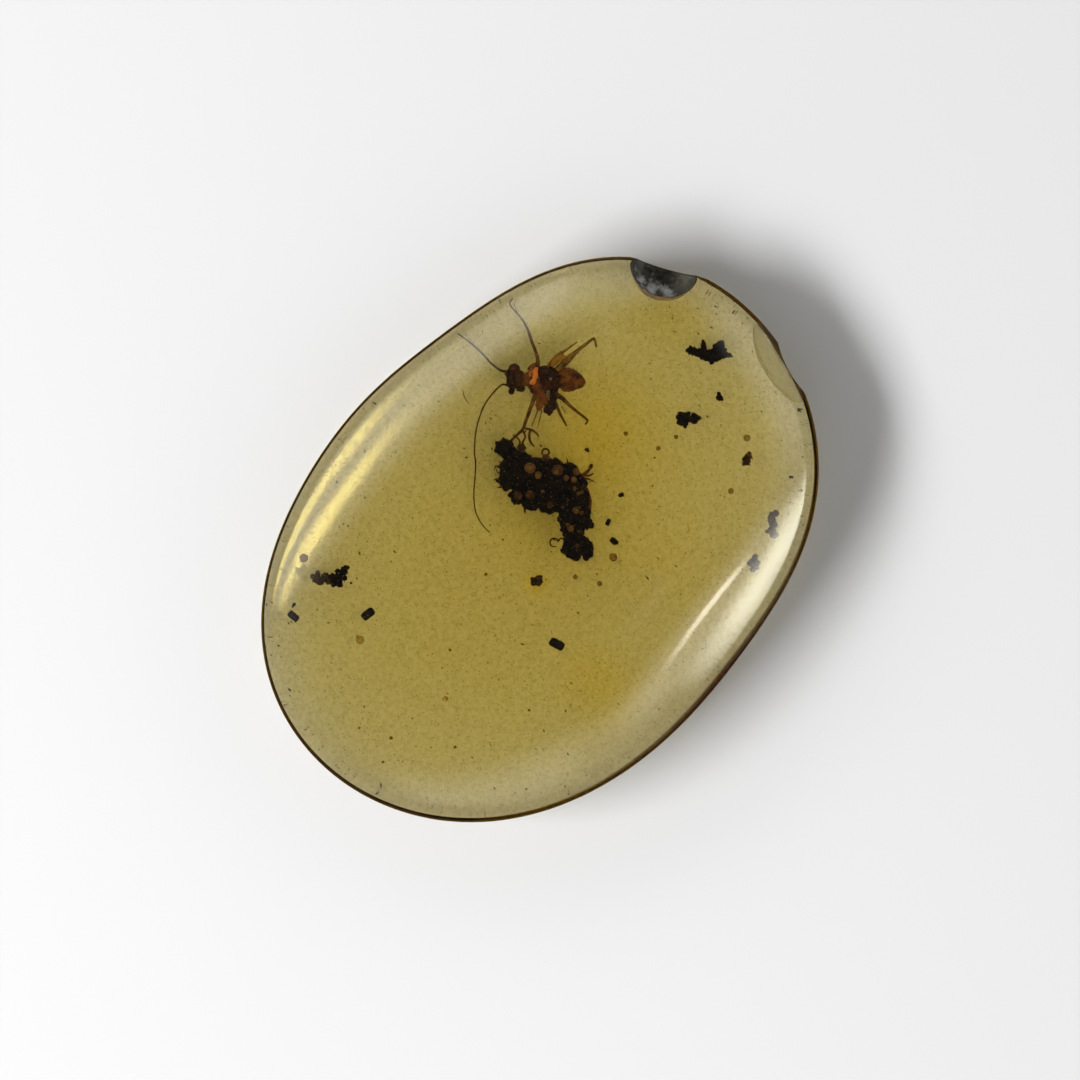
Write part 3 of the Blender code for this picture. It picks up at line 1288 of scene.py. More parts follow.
@dataclass
class Insect:
    """The winged insect, about 3.2 mm long, with its head to the left and legs spread."""

    height: float = 3.3
    dark_skin: SealedFinish = SealedFinish(
        "dark_skin", (0.006, 0.0025, 0.001), (0.045, 0.016, 0.005), 9.0, 0.3, 0.35, 0.006)
    brown_skin: SealedFinish = SealedFinish(
        "brown_skin", (0.028, 0.009, 0.003), (0.22, 0.070, 0.013), 4.5, 0.3, 0.4, 0.004,
        0.8, 1.0)
    # The orange collar also gives off a faint painted glow.
    orange_skin: SealedFinish = SealedFinish(
        "orange_skin", (0.15, 0.055, 0.010), (0.64, 0.19, 0.038), 5.0, 0.5, 0.3, 0.006,
        0.95, 0.75, 0.04)
    leg_skin: SealedFinish = SealedFinish(
        "leg_skin", (0.030, 0.012, 0.003), (0.20, 0.09, 0.014), 6.0, 0.35, 0.45, 0.004,
        0.74, 0.94)
    thigh_skin: SealedFinish = SealedFinish(
        "thigh_skin", (0.06, 0.026, 0.005), (0.34, 0.16, 0.02), 6.0, 0.35, 0.45, 0.004,
        0.7, 0.92)
    feeler_skin: SealedFinish = SealedFinish(
        "feeler_skin", (0.022, 0.010, 0.003), (0.08, 0.038, 0.008), 6.0, 0.2, 0.5, 0.003,
        0.8, 0.94)
    # Painted highlight: pale spots laid on the dark thorax and neck.
    highlight_skin: SealedFinish = SealedFinish(
        "highlight_skin", (0.06, 0.045, 0.03), (0.26, 0.22, 0.17), 10.0, 0.0, 0.3, 0.004)

    def _z(self, up: float = 0.0) -> float:
        """Height of a part that lies `up` above the insect's middle."""
        return self.height + up

    def build(self, shop: Workshop) -> None:
        """Make each part of the body, then the limbs.

        Args:
            shop: the workshop that makes the pieces.
        """
        self._head(shop)
        self._thorax(shop)
        self._abdomen(shop)
        self._feelers(shop)
        self._legs(shop)

    def _several(self, shop: Workshop, name: str, lumps: tuple[Lump, ...],
                 finish: SealedFinish, seed: int, size: float = 0.22) -> None:
        """Join lumps into one piece."""
        skins = [lump_skin(shop.sight, lump, size, seed + k) for k, lump in enumerate(lumps)]
        shop.piece(name, Skin.joined(skins), finish)

    def _head(self, shop: Workshop) -> None:
        """Head capsule, bulging eyes, mouthparts, the neck's shoulders and a painted highlight on the
        neck.

        Args:
            shop: the workshop that makes the pieces.
        """
        z = self._z
        self._several(shop, "head_capsule", (
            Lump((-1.22, 6.60, z()), (0.18, 0.46, 0.26), 4, 0.03),
            Lump((-0.94, 6.54, z(-0.02)), (0.28, 0.38, 0.26), 0, 0.03, 0.9),
            Lump((-0.86, 6.20, z(-0.05)), (0.17, 0.16, 0.15), 0, 0.03, 0.3)), self.dark_skin, 40)
        self._several(shop, "compound_eyes", (
            Lump((-1.10, 6.97, z(0.04)), (0.23, 0.21, 0.20), 20, 0.012, 0.8),
            Lump((-1.20, 6.10, z(0.0)), (0.13, 0.16, 0.14), 0, 0.012)), self.dark_skin, 44)
        self._several(shop, "mouthparts", (
            Lump((-1.40, 6.72, z(-0.05)), (0.07, 0.12, 0.09), 30, 0.01),
            Lump((-1.38, 6.36, z(-0.05)), (0.07, 0.10, 0.08), -20, 0.01)), self.brown_skin, 47)
        # Painted highlight on the neck.
        self._several(shop, "neck_highlight", (
            Lump((-0.94, 6.56, z(0.17)), (0.07, 0.10, 0.05), 20, 0.01),), self.highlight_skin, 49)

    def _thorax(self, shop: Workshop) -> None:
        """Orange collar, dark middle, red-brown hip region and the pale patches of painted highlight.

        Args:
            shop: the workshop that makes the pieces.
        """
        z = self._z
        self._several(shop, "orange_collar", (
            Lump((-0.60, 6.56, z(0.0)), (0.32, 0.26, 0.24), 40, 0.025, -0.35),
            Lump((-0.36, 6.74, z(0.0)), (0.38, 0.24, 0.24), 50, 0.025, -0.1),
            Lump((-0.27, 6.74, z(0.12)), (0.13, 0.30, 0.16), -12, 0.015, 0.7),
            Lump((-0.36, 6.46, z(0.08)), (0.16, 0.15, 0.14), 30, 0.015, 0.35),
            Lump((-0.36, 7.06, z(0.0)), (0.24, 0.10, 0.10), 32, 0.015, -0.3)), self.orange_skin, 52)
        self._several(shop, "thorax_middle", (
            Lump((0.10, 6.82, z(0.02)), (0.32, 0.24, 0.30), -4, 0.04, 0.2),
            Lump((0.42, 6.74, z(0.0)), (0.38, 0.28, 0.32), 0, 0.04),
            Lump((0.60, 6.50, z(-0.02)), (0.24, 0.36, 0.26), 10, 0.04, 0.4),
            Lump((0.34, 6.46, z(-0.04)), (0.30, 0.26, 0.24), 0, 0.04, 0.3),
            Lump((0.50, 6.12, z(0.0)), (0.17, 0.42, 0.20), -8, 0.035),
            Lump((0.46, 5.74, z(0.0)), (0.15, 0.28, 0.16), 0, 0.035),
            Lump((0.30, 5.30, z(-0.05)), (0.17, 0.17, 0.14), 20, 0.035),
            Lump((0.40, 5.50, z(-0.05)), (0.13, 0.22, 0.14), 25, 0.035)), self.dark_skin, 56)
        self._several(shop, "hip_segments", (
            Lump((-0.16, 6.28, z(-0.05)), (0.36, 0.32, 0.26), 8, 0.035),
            Lump((0.12, 6.26, z(-0.08)), (0.30, 0.32, 0.24), 0, 0.035, -0.2),
            Lump((0.02, 5.90, z(-0.1)), (0.28, 0.30, 0.20), -15, 0.035, 0.2),
            Lump((-0.08, 5.56, z(-0.12)), (0.17, 0.26, 0.14), -10, 0.03, 0.8),
            Lump((0.16, 5.66, z(-0.1)), (0.13, 0.24, 0.13), 14, 0.03, 0.4)), self.brown_skin, 62)
        # Painted highlights on the thorax.
        self._several(shop, "thorax_highlights", (
            Lump((0.33, 6.60, z(0.29)), (0.05, 0.11, 0.04), 24, 0.012),
            Lump((0.26, 5.98, z(0.10)), (0.07, 0.17, 0.05), 0, 0.012)), self.highlight_skin, 66)

    def _abdomen(self, shop: Workshop) -> None:
        """Tapering red-brown abdomen in overlapping rings, with its tip to the right.

        Args:
            shop: the workshop that makes the pieces.
        """
        spine = np.array(((0.74, 6.78, self._z(0.02)), (1.00, 6.64, self._z(0.05)),
                          (1.30, 6.50, self._z(0.03)), (1.56, 6.44, self._z()),
                          (1.76, 6.42, self._z(-0.03))))
        count = 90
        seen = smooth_path(spine, count)
        place = np.linspace(0.0, 1.0, count)
        girth = np.interp(place, (0.0, 0.12, 0.36, 0.62, 0.84, 0.95, 1.0),
                          (0.26, 0.36, 0.41, 0.34, 0.22, 0.12, 0.04))
        rings = 1.0 + 0.025 * np.sin(place * 2 * math.pi * 7.0)
        body = tube(shop.sight.sink(seen[:, :2], seen[:, 2]), girth * rings, 28)
        belly = lump_skin(shop.sight, Lump((1.02, 6.27, self._z(-0.05)), (0.30, 0.22, 0.2),
                                           -22, 0.04, 0.3), 0.2, 70)
        shop.piece("abdomen", Skin.joined([body, belly]), self.brown_skin)

    def _feelers(self, shop: Workshop) -> None:
        """Two long feelers: one forward and up, the other swept down in a wide bow.

        Args:
            shop: the workshop that makes the pieces.
        """
        z = self._z
        parts = (
            Limb(((-1.36, 6.86, z()), (-1.63, 6.90, z(0.02)), (-2.00, 7.17, z(0.05)),
                  (-2.32, 7.52, z(0.05)), (-2.78, 7.95, z(0.0)), (-3.35, 8.38, z(-0.1))),
                 (0.052, 0.044, 0.040, 0.034, 0.026), 0.05),
            Limb(((-1.34, 6.30, z()), (-1.56, 6.34, z()), (-1.81, 6.14, z(0.03)),
                  (-2.23, 5.61, z(0.05)), (-2.50, 4.98, z(0.05)), (-2.64, 4.36, z()),
                  (-2.69, 3.66, z(-0.05)), (-2.64, 3.16, z(-0.1)), (-2.67, 2.62, z(-0.1)),
                  (-2.71, 1.94, z(-0.15)), (-2.64, 1.28, z(-0.2)), (-2.40, 0.78, z(-0.2)),
                  (-2.08, 0.42, z(-0.25))), (0.040, 0.033, 0.030, 0.030, 0.025, 0.018), 0.06, 0.5))
        skins = [limb_skin(shop.sight, part, 110) for part in parts]
        shop.piece("feelers", Skin.joined(skins), self.feeler_skin)

    def _legs(self, shop: Workshop) -> None:
        """Six legs, their hooked feet, and the tangle where two reach the clump.

        Args:
            shop: the workshop that makes the pieces.
        """
        z = self._z
        upper = (
            Limb(((-0.17, 7.05, z()), (-0.18, 7.46, z(0.05)), (-0.39, 8.04, z(0.1)),
                  (-0.57, 8.57, z(0.08)), (-0.84, 9.03, z(0.0)), (-1.26, 9.53, z(-0.1)),
                  (-1.15, 9.80, z(-0.15))), (0.10, 0.072, 0.060, 0.052, 0.040, 0.030, 0.022),
                 0.02),
            Limb(((-0.92, 9.12, z()), (-1.08, 9.50, z(-0.05)), (-1.02, 9.76, z(-0.1))),
                 (0.02, 0.020, 0.012), 0.0, 0.6))
        hind = (
            Limb(((0.62, 6.90, z()), (1.03, 7.33, z(0.05)), (1.45, 7.70, z(0.08)),
                  (2.00, 8.14, z(0.0)), (2.12, 8.14, z(-0.02)), (2.19, 7.84, z(-0.05))),
                 (0.15, 0.14, 0.075, 0.055, 0.048, 0.036), 0.02, 0.0),
            Limb(((0.20, 7.00, z(-0.1)), (0.60, 7.45, z(-0.08)), (0.95, 7.70, z(-0.08)),
                  (1.42, 8.04, z(-0.12))), (0.07, 0.10, 0.050, 0.028), 0.02, 0.2),
            Limb(((0.40, 7.10, z()), (0.72, 7.42, z(0.05)), (1.02, 7.34, z())),
                 (0.10, 0.15, 0.08), 0.0, 0.9))
        lower = (
            Limb(((0.50, 5.98, z(-0.05)), (0.80, 5.80, z()), (1.22, 5.42, z(0.02)),
                  (1.78, 4.97, z(-0.05)), (1.84, 4.88, z(-0.06)), (1.76, 4.74, z(-0.1))),
                 (0.12, 0.095, 0.060, 0.048, 0.042, 0.032), 0.02),
            Limb(((0.50, 5.75, z(-0.1)), (0.71, 5.24, z(-0.1)), (0.86, 4.95, z(-0.12)),
                  (1.01, 4.68, z(-0.15))), (0.075, 0.055, 0.048, 0.034), 0.02),
            Limb(((0.80, 5.45, z(-0.2)), (0.98, 5.18, z(-0.2))), (0.02, 0.016), 0.0, 0.6),
            Limb(((-0.22, 6.00, z(-0.1)), (-0.42, 5.47, z(-0.12)), (-0.62, 4.92, z(-0.15)),
                  (-0.76, 4.55, z(-0.2)), (-1.00, 4.32, z(-0.3)), (-1.26, 4.06, z(-0.4))),
                 (0.10, 0.075, 0.062, 0.066, 0.055, 0.045), 0.03),
            Limb(((-0.14, 5.36, z(-0.2)), (-0.26, 5.02, z(-0.25)), (-0.40, 4.66, z(-0.3))),
                 (0.03, 0.032, 0.024), 0.0, 0.5),
            Limb(((0.00, 5.30, z(-0.2)), (-0.08, 4.94, z(-0.3)), (-0.16, 4.60, z(-0.3))),
                 (0.026, 0.028, 0.02), 0.0, 0.6))
        tangle = (
            Limb(((-0.72, 4.60, z(-0.3)), (-0.40, 4.52, z(-0.3)), (-0.18, 4.36, z(-0.35)),
                  (-0.12, 4.24, z(-0.4))), (0.045, 0.05, 0.04, 0.02)),
            Limb(((-0.44, 4.56, z(-0.3)), (-0.50, 4.30, z(-0.35)), (-0.44, 4.04, z(-0.4)),
                  (-0.30, 3.86, z(-0.45))), (0.04, 0.055, 0.05, 0.035)),
            Limb(((-0.78, 4.56, z(-0.3)), (-0.66, 4.26, z(-0.35)), (-0.76, 4.00, z(-0.4)),
                  (-0.62, 3.78, z(-0.45))), (0.035, 0.04, 0.045, 0.03)),
            Limb(((-1.06, 4.28, z(-0.35)), (-0.88, 4.08, z(-0.4)), (-0.92, 3.88, z(-0.4))),
                 (0.03, 0.035, 0.025)),
            Limb(((-0.96, 4.40, z(-0.3)), (-0.82, 4.50, z(-0.3)), (-0.70, 4.42, z(-0.3)),
                  (-0.62, 4.52, z(-0.3))), (0.02, 0.03, 0.03, 0.02)))
        for name, limbs, finish in (("fore_leg", upper, self.leg_skin),
                                    ("hind_legs", hind, self.thigh_skin),
                                    ("lower_legs", lower, self.leg_skin),
                                    ("foot_tangle", tangle, self.leg_skin)):
            skins = [limb_skin(shop.sight, part, 46) for part in limbs]
            shop.piece(name, Skin.joined(skins), finish)


@dataclass
class Clump:
    """The dark clump of crumbs under the insect, with clear globules, hairs and spurs."""

    height: float = 2.9
    flatness: float = 0.62
    crumb_count: int = 230
    crumb_sizes: tuple[float, float] = (0.045, 0.10)
    lobes: tuple[tuple[float, float, float], ...] = (
        (-1.49, 3.80, 0.34), (-1.18, 3.47, 0.33), (-1.22, 2.93, 0.46), (-0.72, 3.28, 0.34),
        (-0.72, 2.62, 0.54), (-1.58, 2.50, 0.19), (-0.18, 2.93, 0.44), (-0.11, 2.32, 0.60),
        (-0.95, 1.88, 0.32), (-0.42, 1.72, 0.40), (0.50, 3.01, 0.36), (0.58, 2.44, 0.58),
        (0.28, 1.68, 0.48), (1.12, 2.78, 0.40), (1.28, 2.32, 0.50), (1.40, 1.74, 0.50),
        (0.92, 1.68, 0.52), (1.52, 1.14, 0.42), (1.19, 1.02, 0.50), (1.86, 0.78, 0.20),
        (1.27, 0.52, 0.44), (1.34, -0.06, 0.46), (1.72, -0.16, 0.32), (1.38, -0.50, 0.19),
        (1.82, -0.42, 0.21), (1.08, -0.28, 0.26),
        (-1.34, 2.45, 0.30), (0.30, 2.86, 0.36))
    crust: SealedFinish = SealedFinish(
        "clump_crust", (0.0008, 0.0004, 0.0003), (0.011, 0.0045, 0.0022), 5.0, 0.5, 0.5, 0.02)
    globule: SealedFinish = SealedFinish(
        "clump_globule", (0.035, 0.016, 0.006), (0.135, 0.070, 0.029), 5.0, 0.38, 0.4, 0.006)
    hair: SealedFinish = SealedFinish(
        "clump_hair", (0.04, 0.018, 0.005), (0.12, 0.06, 0.015), 6.0, 0.3, 0.4, 0.003,
        0.75, 0.9)
    rust: SealedFinish = SealedFinish(
        "clump_rust", (0.025, 0.008, 0.002), (0.21, 0.07, 0.012), 7.0, 0.3, 0.45, 0.012,
        0.7, 0.95)

    def build(self, shop: Workshop) -> None:
        """Make lobes, crumbs, globules, rusty spurs and hairs.

        Args:
            shop: the workshop that makes the pieces.
        """
        self._lobes(shop)
        self._crumbs(shop)
        self._globules(shop)
        self._spurs(shop)
        self._hairs(shop)

    def _lobes(self, shop: Workshop) -> None:
        """Big lumpy lobes that give the clump its outline.

        Args:
            shop: the workshop that makes the pieces.
        """
        lobes = [Lump((x, y, self.height), (r, r, r * self.flatness + 0.1), 37.0 * k, 0.055, 0.0)
                 for k, (x, y, r) in enumerate(self.lobes)]
        skins = [lump_skin(shop.sight, lobe, 0.22, 100 + k, 22) for k, lobe in enumerate(lobes)]
        shop.piece("clump_lobes", Skin.joined(skins), self.crust)

    def _crumbs(self, shop: Workshop) -> None:
        """Small crumbs round the edge and over the top of the lobes.

        Each crumb sits on a random lobe, at a random compass angle, at the lobe's
        radius or on its crown.

        Args:
            shop: the workshop that makes the pieces.
        """
        rng = np.random.default_rng(11)
        lobes = np.array(self.lobes)
        weight = lobes[:, 2] / lobes[:, 2].sum()
        pick = lobes[rng.choice(len(lobes), self.crumb_count, p=weight)]
        turn = rng.uniform(0, 2 * math.pi, self.crumb_count)
        polar = rng.uniform(0.1, 1.25, self.crumb_count)
        reach = pick[:, 2] * np.sin(polar)
        seen = pick[:, :2] + np.stack((np.cos(turn), np.sin(turn)), 1) * reach[:, None]
        up = self.height + pick[:, 2] * self.flatness * np.cos(polar)
        size = rng.uniform(*self.crumb_sizes, self.crumb_count)
        places = shop.sight.sink(seen, up)
        frames = random_frames(rng, np.stack((size * rng.uniform(1.0, 1.6, self.crumb_count),
                                              size, size), 1))
        crumb = blob(np.zeros(3), (1.0, 1.0, 1.0), 0.0, Lumpiness(1.3, 5), 0.16, 6, 0.8)
        tints = rng.uniform(-0.5, 0.6, self.crumb_count)
        shop.piece("clump_crumbs", crumb.scattered(places, frames, tints), self.crust)

    def _globules(self, shop: Workshop) -> None:
        """Clear brown beads that stand out of the crust.

        Args:
            shop: the workshop that makes the pieces.
        """
        beads = (
            (-0.46, 3.00, 0.22, 0.35), (-0.14, 2.71, 0.14, 0.45), (0.64, 2.88, 0.24, -0.05),
            (0.98, 2.60, 0.12, 0.40), (1.30, 2.53, 0.12, 0.40), (1.38, 2.84, 0.15, 0.10),
            (0.18, 3.40, 0.16, 0.10), (1.38, 1.32, 0.15, 0.05), (1.16, 0.58, 0.13, 0.50),
            (1.05, 0.72, 0.09, 0.20), (-0.82, 3.80, 0.17, -0.15), (-0.94, 1.90, 0.17, -0.20),
            (-0.46, 1.92, 0.18, -0.22), (1.48, 1.96, 0.12, 0.15), (0.34, 1.52, 0.13, -0.25),
            (1.62, 1.20, 0.09, 0.1), (0.42, 2.30, 0.08, 0.1), (0.05, 2.06, 0.07, 0.1),
            (0.66, 1.70, 0.08, 0.0), (1.34, 2.18, 0.09, 0.1), (1.62, 2.05, 0.08, 0.0),
            (0.85, 1.45, 0.10, -0.2), (1.42, -0.10, 0.08, -0.2), (1.55, 0.45, 0.10, -0.25))
        skins = []
        for index, (x, y, radius, tint) in enumerate(beads):
            up = self.height + 0.42 + 0.12 * math.sin(2.3 * index)
            skins.append(lump_skin(shop.sight, Lump((x, y, up), (radius, radius * 0.94,
                                                                 radius * 0.7),
                                                    31.0 * index, 0.006, tint), 0.3, 160 + index))
        shop.piece("clump_globules", Skin.joined(skins), self.globule)

    def _spurs(self, shop: Workshop) -> None:
        """Rusty splinters on the right flank.

        Args:
            shop: the workshop that makes the pieces.
        """
        z = self.height
        spurs = (
            Limb(((1.60, 2.66, z), (1.84, 2.86, z), (2.02, 3.05, z)), (0.07, 0.06, 0.05)),
            Limb(((1.62, 2.60, z), (1.88, 2.56, z), (2.12, 2.44, z)), (0.05, 0.04, 0.015)),
            Limb(((1.70, 2.70, z), (1.92, 2.70, z), (2.08, 2.78, z)), (0.05, 0.05, 0.02)),
            Limb(((1.60, 2.45, z), (1.80, 2.10, z), (1.92, 1.66, z), (1.92, 1.20, z)),
                 (0.07, 0.09, 0.09, 0.05)),
            Limb(((1.92, 3.02, z), (1.98, 3.10, z), (2.05, 3.10, z)), (0.05, 0.06, 0.04)))
        shop.piece("clump_spurs", Skin.joined([limb_skin(shop.sight, s, 24) for s in spurs]),
                   self.rust)

    def _hairs(self, shop: Workshop) -> None:
        """A hooked hair at the lower left, a loop on top and bristles on the left flank.

        Args:
            shop: the workshop that makes the pieces.
        """
        z = self.height
        turn = np.linspace(0.35, 5.2, 9)
        hook = tuple((0.50 + 0.17 * math.cos(t), 0.02 + 0.17 * math.sin(t), z) for t in turn)
        turn = np.linspace(-0.9, 4.0, 9)
        loop = tuple((0.16 + 0.14 * math.cos(t), 3.62 + 0.15 * math.sin(t), z + 0.1)
                     for t in turn)
        hairs = [
            Limb(((0.88, 0.14, z), (0.76, 0.20, z)) + hook, (0.03, 0.035, 0.035, 0.03, 0.02)),
            Limb(((0.30, 3.20, z + 0.1),) + loop, (0.04, 0.04, 0.04, 0.035)),
            Limb(((-0.66, 1.62, z), (-0.68, 1.40, z), (-0.66, 1.20, z)), (0.05, 0.045, 0.03)),
            Limb(((-1.62, 3.00, z), (-1.84, 3.08, z), (-1.88, 2.90, z)), (0.03, 0.03, 0.015)),
            Limb(((-1.55, 2.50, z), (-1.80, 2.56, z), (-1.94, 2.50, z)), (0.04, 0.03, 0.01)),
            Limb(((-1.60, 2.74, z), (-1.76, 2.84, z), (-1.82, 2.98, z)), (0.03, 0.025, 0.012)),
            Limb(((-1.50, 2.32, z), (-1.66, 2.22, z), (-1.78, 2.22, z)), (0.04, 0.03, 0.012)),
            Limb(((1.02, 3.10, z), (1.04, 3.30, z), (1.00, 3.42, z)), (0.04, 0.025, 0.01)),
            Limb(((-1.60, 3.16, z), (-1.72, 3.30, z)), (0.03, 0.012)),
            Limb(((-3.14, 6.12, z), (-3.08, 5.84, z), (-2.90, 5.56, z)), (0.012, 0.02, 0.012))]
        shop.piece("clump_hairs", Skin.joined([limb_skin(shop.sight, h, 44, 8) for h in hairs]),
                   self.hair)


def random_frames(rng: np.random.Generator, sizes: np.ndarray) -> np.ndarray:
    """Random turns with given stretches.

    A turn is the orthogonal factor of a matrix of normal random numbers.

    Args:
        rng: source of random numbers.
        sizes: (N, 3) stretch along each of a copy's own axes.

    Returns:
        (N, 3, 3) matrices.
    """
    turns, _ = np.linalg.qr(rng.normal(size=(len(sizes), 3, 3)))
    turns *= np.sign(np.linalg.det(turns))[:, None, None]
    return turns * sizes[:, None, :]


@dataclass
class CrumbGroups:
    """The smaller dark groups, loose pellets and fragments scattered through the drop."""

    black: SealedFinish = SealedFinish(
        "black_crumb", (0.0008, 0.0004, 0.0003), (0.012, 0.0055, 0.0025), 6.0, 0.4, 0.45, 0.015)
    brown: SealedFinish = SealedFinish(
        "brown_crumb", (0.012, 0.006, 0.002), (0.09, 0.045, 0.010), 5.0, 0.4, 0.5, 0.012,
        0.86, 1.0)

    def build(self, shop: Workshop) -> None:
        """Make every group where it is seen.

        Args:
            shop: the workshop that makes the pieces.
        """
        z = 3.0
        self._group(shop, "crumbs_upper_right", self.black, 200, (
            (6.02, 7.70, 0.23, 0.17), (6.26, 7.60, 0.16, 0.14), (6.48, 7.86, 0.10, 0.22),
            (6.46, 8.05, 0.07, 0.09), (6.50, 7.56, 0.26, 0.22), (6.84, 7.50, 0.32, 0.24),
            (7.14, 7.78, 0.21, 0.20), (6.97, 7.86, 0.12, 0.14), (7.18, 7.98, 0.14, 0.11),
            (7.22, 7.60, 0.22, 0.20), (7.46, 7.52, 0.15, 0.10), (7.60, 7.46, 0.06, 0.05),
            (6.80, 7.25, 0.10, 0.12), (6.66, 7.40, 0.16, 0.14)), z)
        self._group(shop, "crumbs_right", self.black, 230, (
            (5.54, 5.06, 0.16, 0.16), (5.56, 4.84, 0.14, 0.13), (5.72, 5.06, 0.14, 0.16),
            (5.74, 4.80, 0.13, 0.14), (5.86, 5.16, 0.11, 0.10), (5.92, 4.94, 0.12, 0.12),
            (6.10, 5.08, 0.13, 0.13), (6.12, 4.90, 0.14, 0.12), (6.26, 5.00, 0.11, 0.10),
            (5.74, 4.68, 0.08, 0.08)), z)
        self._group(shop, "crumbs_left", self.black, 260, (
            (-8.36, -1.40, 0.20, 0.16), (-8.10, -1.40, 0.17, 0.17), (-7.92, -1.14, 0.15, 0.17),
            (-7.80, -0.98, 0.10, 0.10), (-8.16, -1.12, 0.11, 0.10), (-8.30, -1.64, 0.12, 0.12),
            (-8.08, -1.66, 0.12, 0.12), (-7.88, -1.42, 0.10, 0.10), (-7.62, -1.60, 0.05, 0.05)),
            2.6)
        self._group(shop, "crumbs_left_brown", self.brown, 290, (
            (-9.02, -1.40, 0.17, 0.17), (-8.86, -1.52, 0.17, 0.15), (-8.66, -1.36, 0.17, 0.17),
            (-8.96, -1.22, 0.11, 0.10), (-8.52, -1.52, 0.14, 0.13), (-9.18, -1.34, 0.09, 0.08)),
            2.6)
        self._group(shop, "loose_black_crumbs", self.black, 320, (
            (7.12, 5.82, 0.13, 0.12), (7.08, 5.98, 0.07, 0.08), (7.20, 5.76, 0.09, 0.07),
            (1.80, 3.74, 0.08, 0.06), (1.86, 3.70, 0.06, 0.06), (2.86, 0.10, 0.12, 0.11),
            (2.96, 0.04, 0.10, 0.10), (2.84, 0.20, 0.06, 0.05), (10.30, 5.32, 0.09, 0.08),
            (10.42, 5.34, 0.04, 0.03), (-9.90, -2.44, 0.09, 0.06), (-9.96, -2.54, 0.05, 0.05),
            (10.00, 2.64, 0.09, 0.05), (-11.00, -2.46, 0.05, 0.06)), z)
        self._group(shop, "right_rim_crumbs", self.brown, 350, (
            (9.20, 0.98, 0.15, 0.26), (9.28, 0.74, 0.17, 0.16), (9.20, 0.52, 0.17, 0.14),
            (9.30, 0.34, 0.17, 0.15), (9.04, 0.46, 0.10, 0.09), (9.36, 1.18, 0.12, 0.12),
            (9.96, 2.64, 0.07, 0.05), (10.36, 2.10, 0.12, 0.05), (8.52, -0.60, 0.13, 0.14),
            (8.36, -0.80, 0.15, 0.13), (8.60, -0.80, 0.14, 0.12), (8.46, -1.04, 0.12, 0.12),
            (8.64, -1.00, 0.08, 0.08)), z)
        self._group(shop, "brown_flake", self.brown, 380, (
            (8.20, 3.30, 0.16, 0.17), (8.28, 3.46, 0.13, 0.14), (8.32, 3.60, 0.07, 0.07),
            (8.12, 3.18, 0.10, 0.08)), z)
        self._group(shop, "haloed_flake", self.brown, 400, (
            (-0.22, -1.50, 0.15, 0.13), (-0.10, -1.42, 0.12, 0.11), (-0.34, -1.60, 0.10, 0.12),
            (-0.14, -1.64, 0.10, 0.09), (-0.40, -1.44, 0.06, 0.06), (-0.02, -1.56, 0.06, 0.06)),
            z)
        self._pellets(shop)

    def _group(self, shop: Workshop, name: str, finish: SealedFinish, seed: int,
               lumps: tuple[tuple[float, float, float, float], ...], height: float) -> None:
        """Join lumps given as x, y seen and half sizes across and up the plan.

        Args:
            shop: the workshop that makes the pieces.
            name: name of the piece.
            finish: its finish.
            seed: seed of the first lump.
            lumps: x and y seen, and half sizes across and up.
            height: middle height in mm.
        """
        skins = []
        for index, (x, y, across, up) in enumerate(lumps):
            lump = Lump((x, y, height + 0.08 * math.sin(1.7 * index)),
                        (across, up, min(across, up)), 0.0, 0.28 * min(across, up),
                        0.4 * math.sin(3.1 * index))
            skins.append(lump_skin(shop.sight, lump, 0.12, seed + index, 18))
        shop.piece(name, Skin.joined(skins), finish)

    def _pellets(self, shop: Workshop) -> None:
        """Frass pellets: short blunt rods with flattened sides.

        Args:
            shop: the workshop that makes the pieces.
        """
        pellets = ((0.60, -4.04, -28.0, 0.29, 0.17), (-6.94, -2.84, 40.0, 0.27, 0.16),
                   (-9.94, -2.92, -38.0, 0.24, 0.14), (3.18, 1.92, 20.0, 0.10, 0.08),
                   (2.66, 0.84, 62.0, 0.13, 0.08))
        skins = []
        for index, (x, y, degrees, long, wide) in enumerate(pellets):
            middle = sink_points(shop.sight, ((x, y, 2.8),))[0]
            skins.append(blob(middle, (long, wide, wide),
                              degrees - shop.sight.long_axis_degrees,
                              Lumpiness(0.15, 430 + index), 0.014, 18, 0.42,
                              0.2 * math.sin(index)))
        shop.piece("frass_pellets", Skin.joined(skins), self.black)


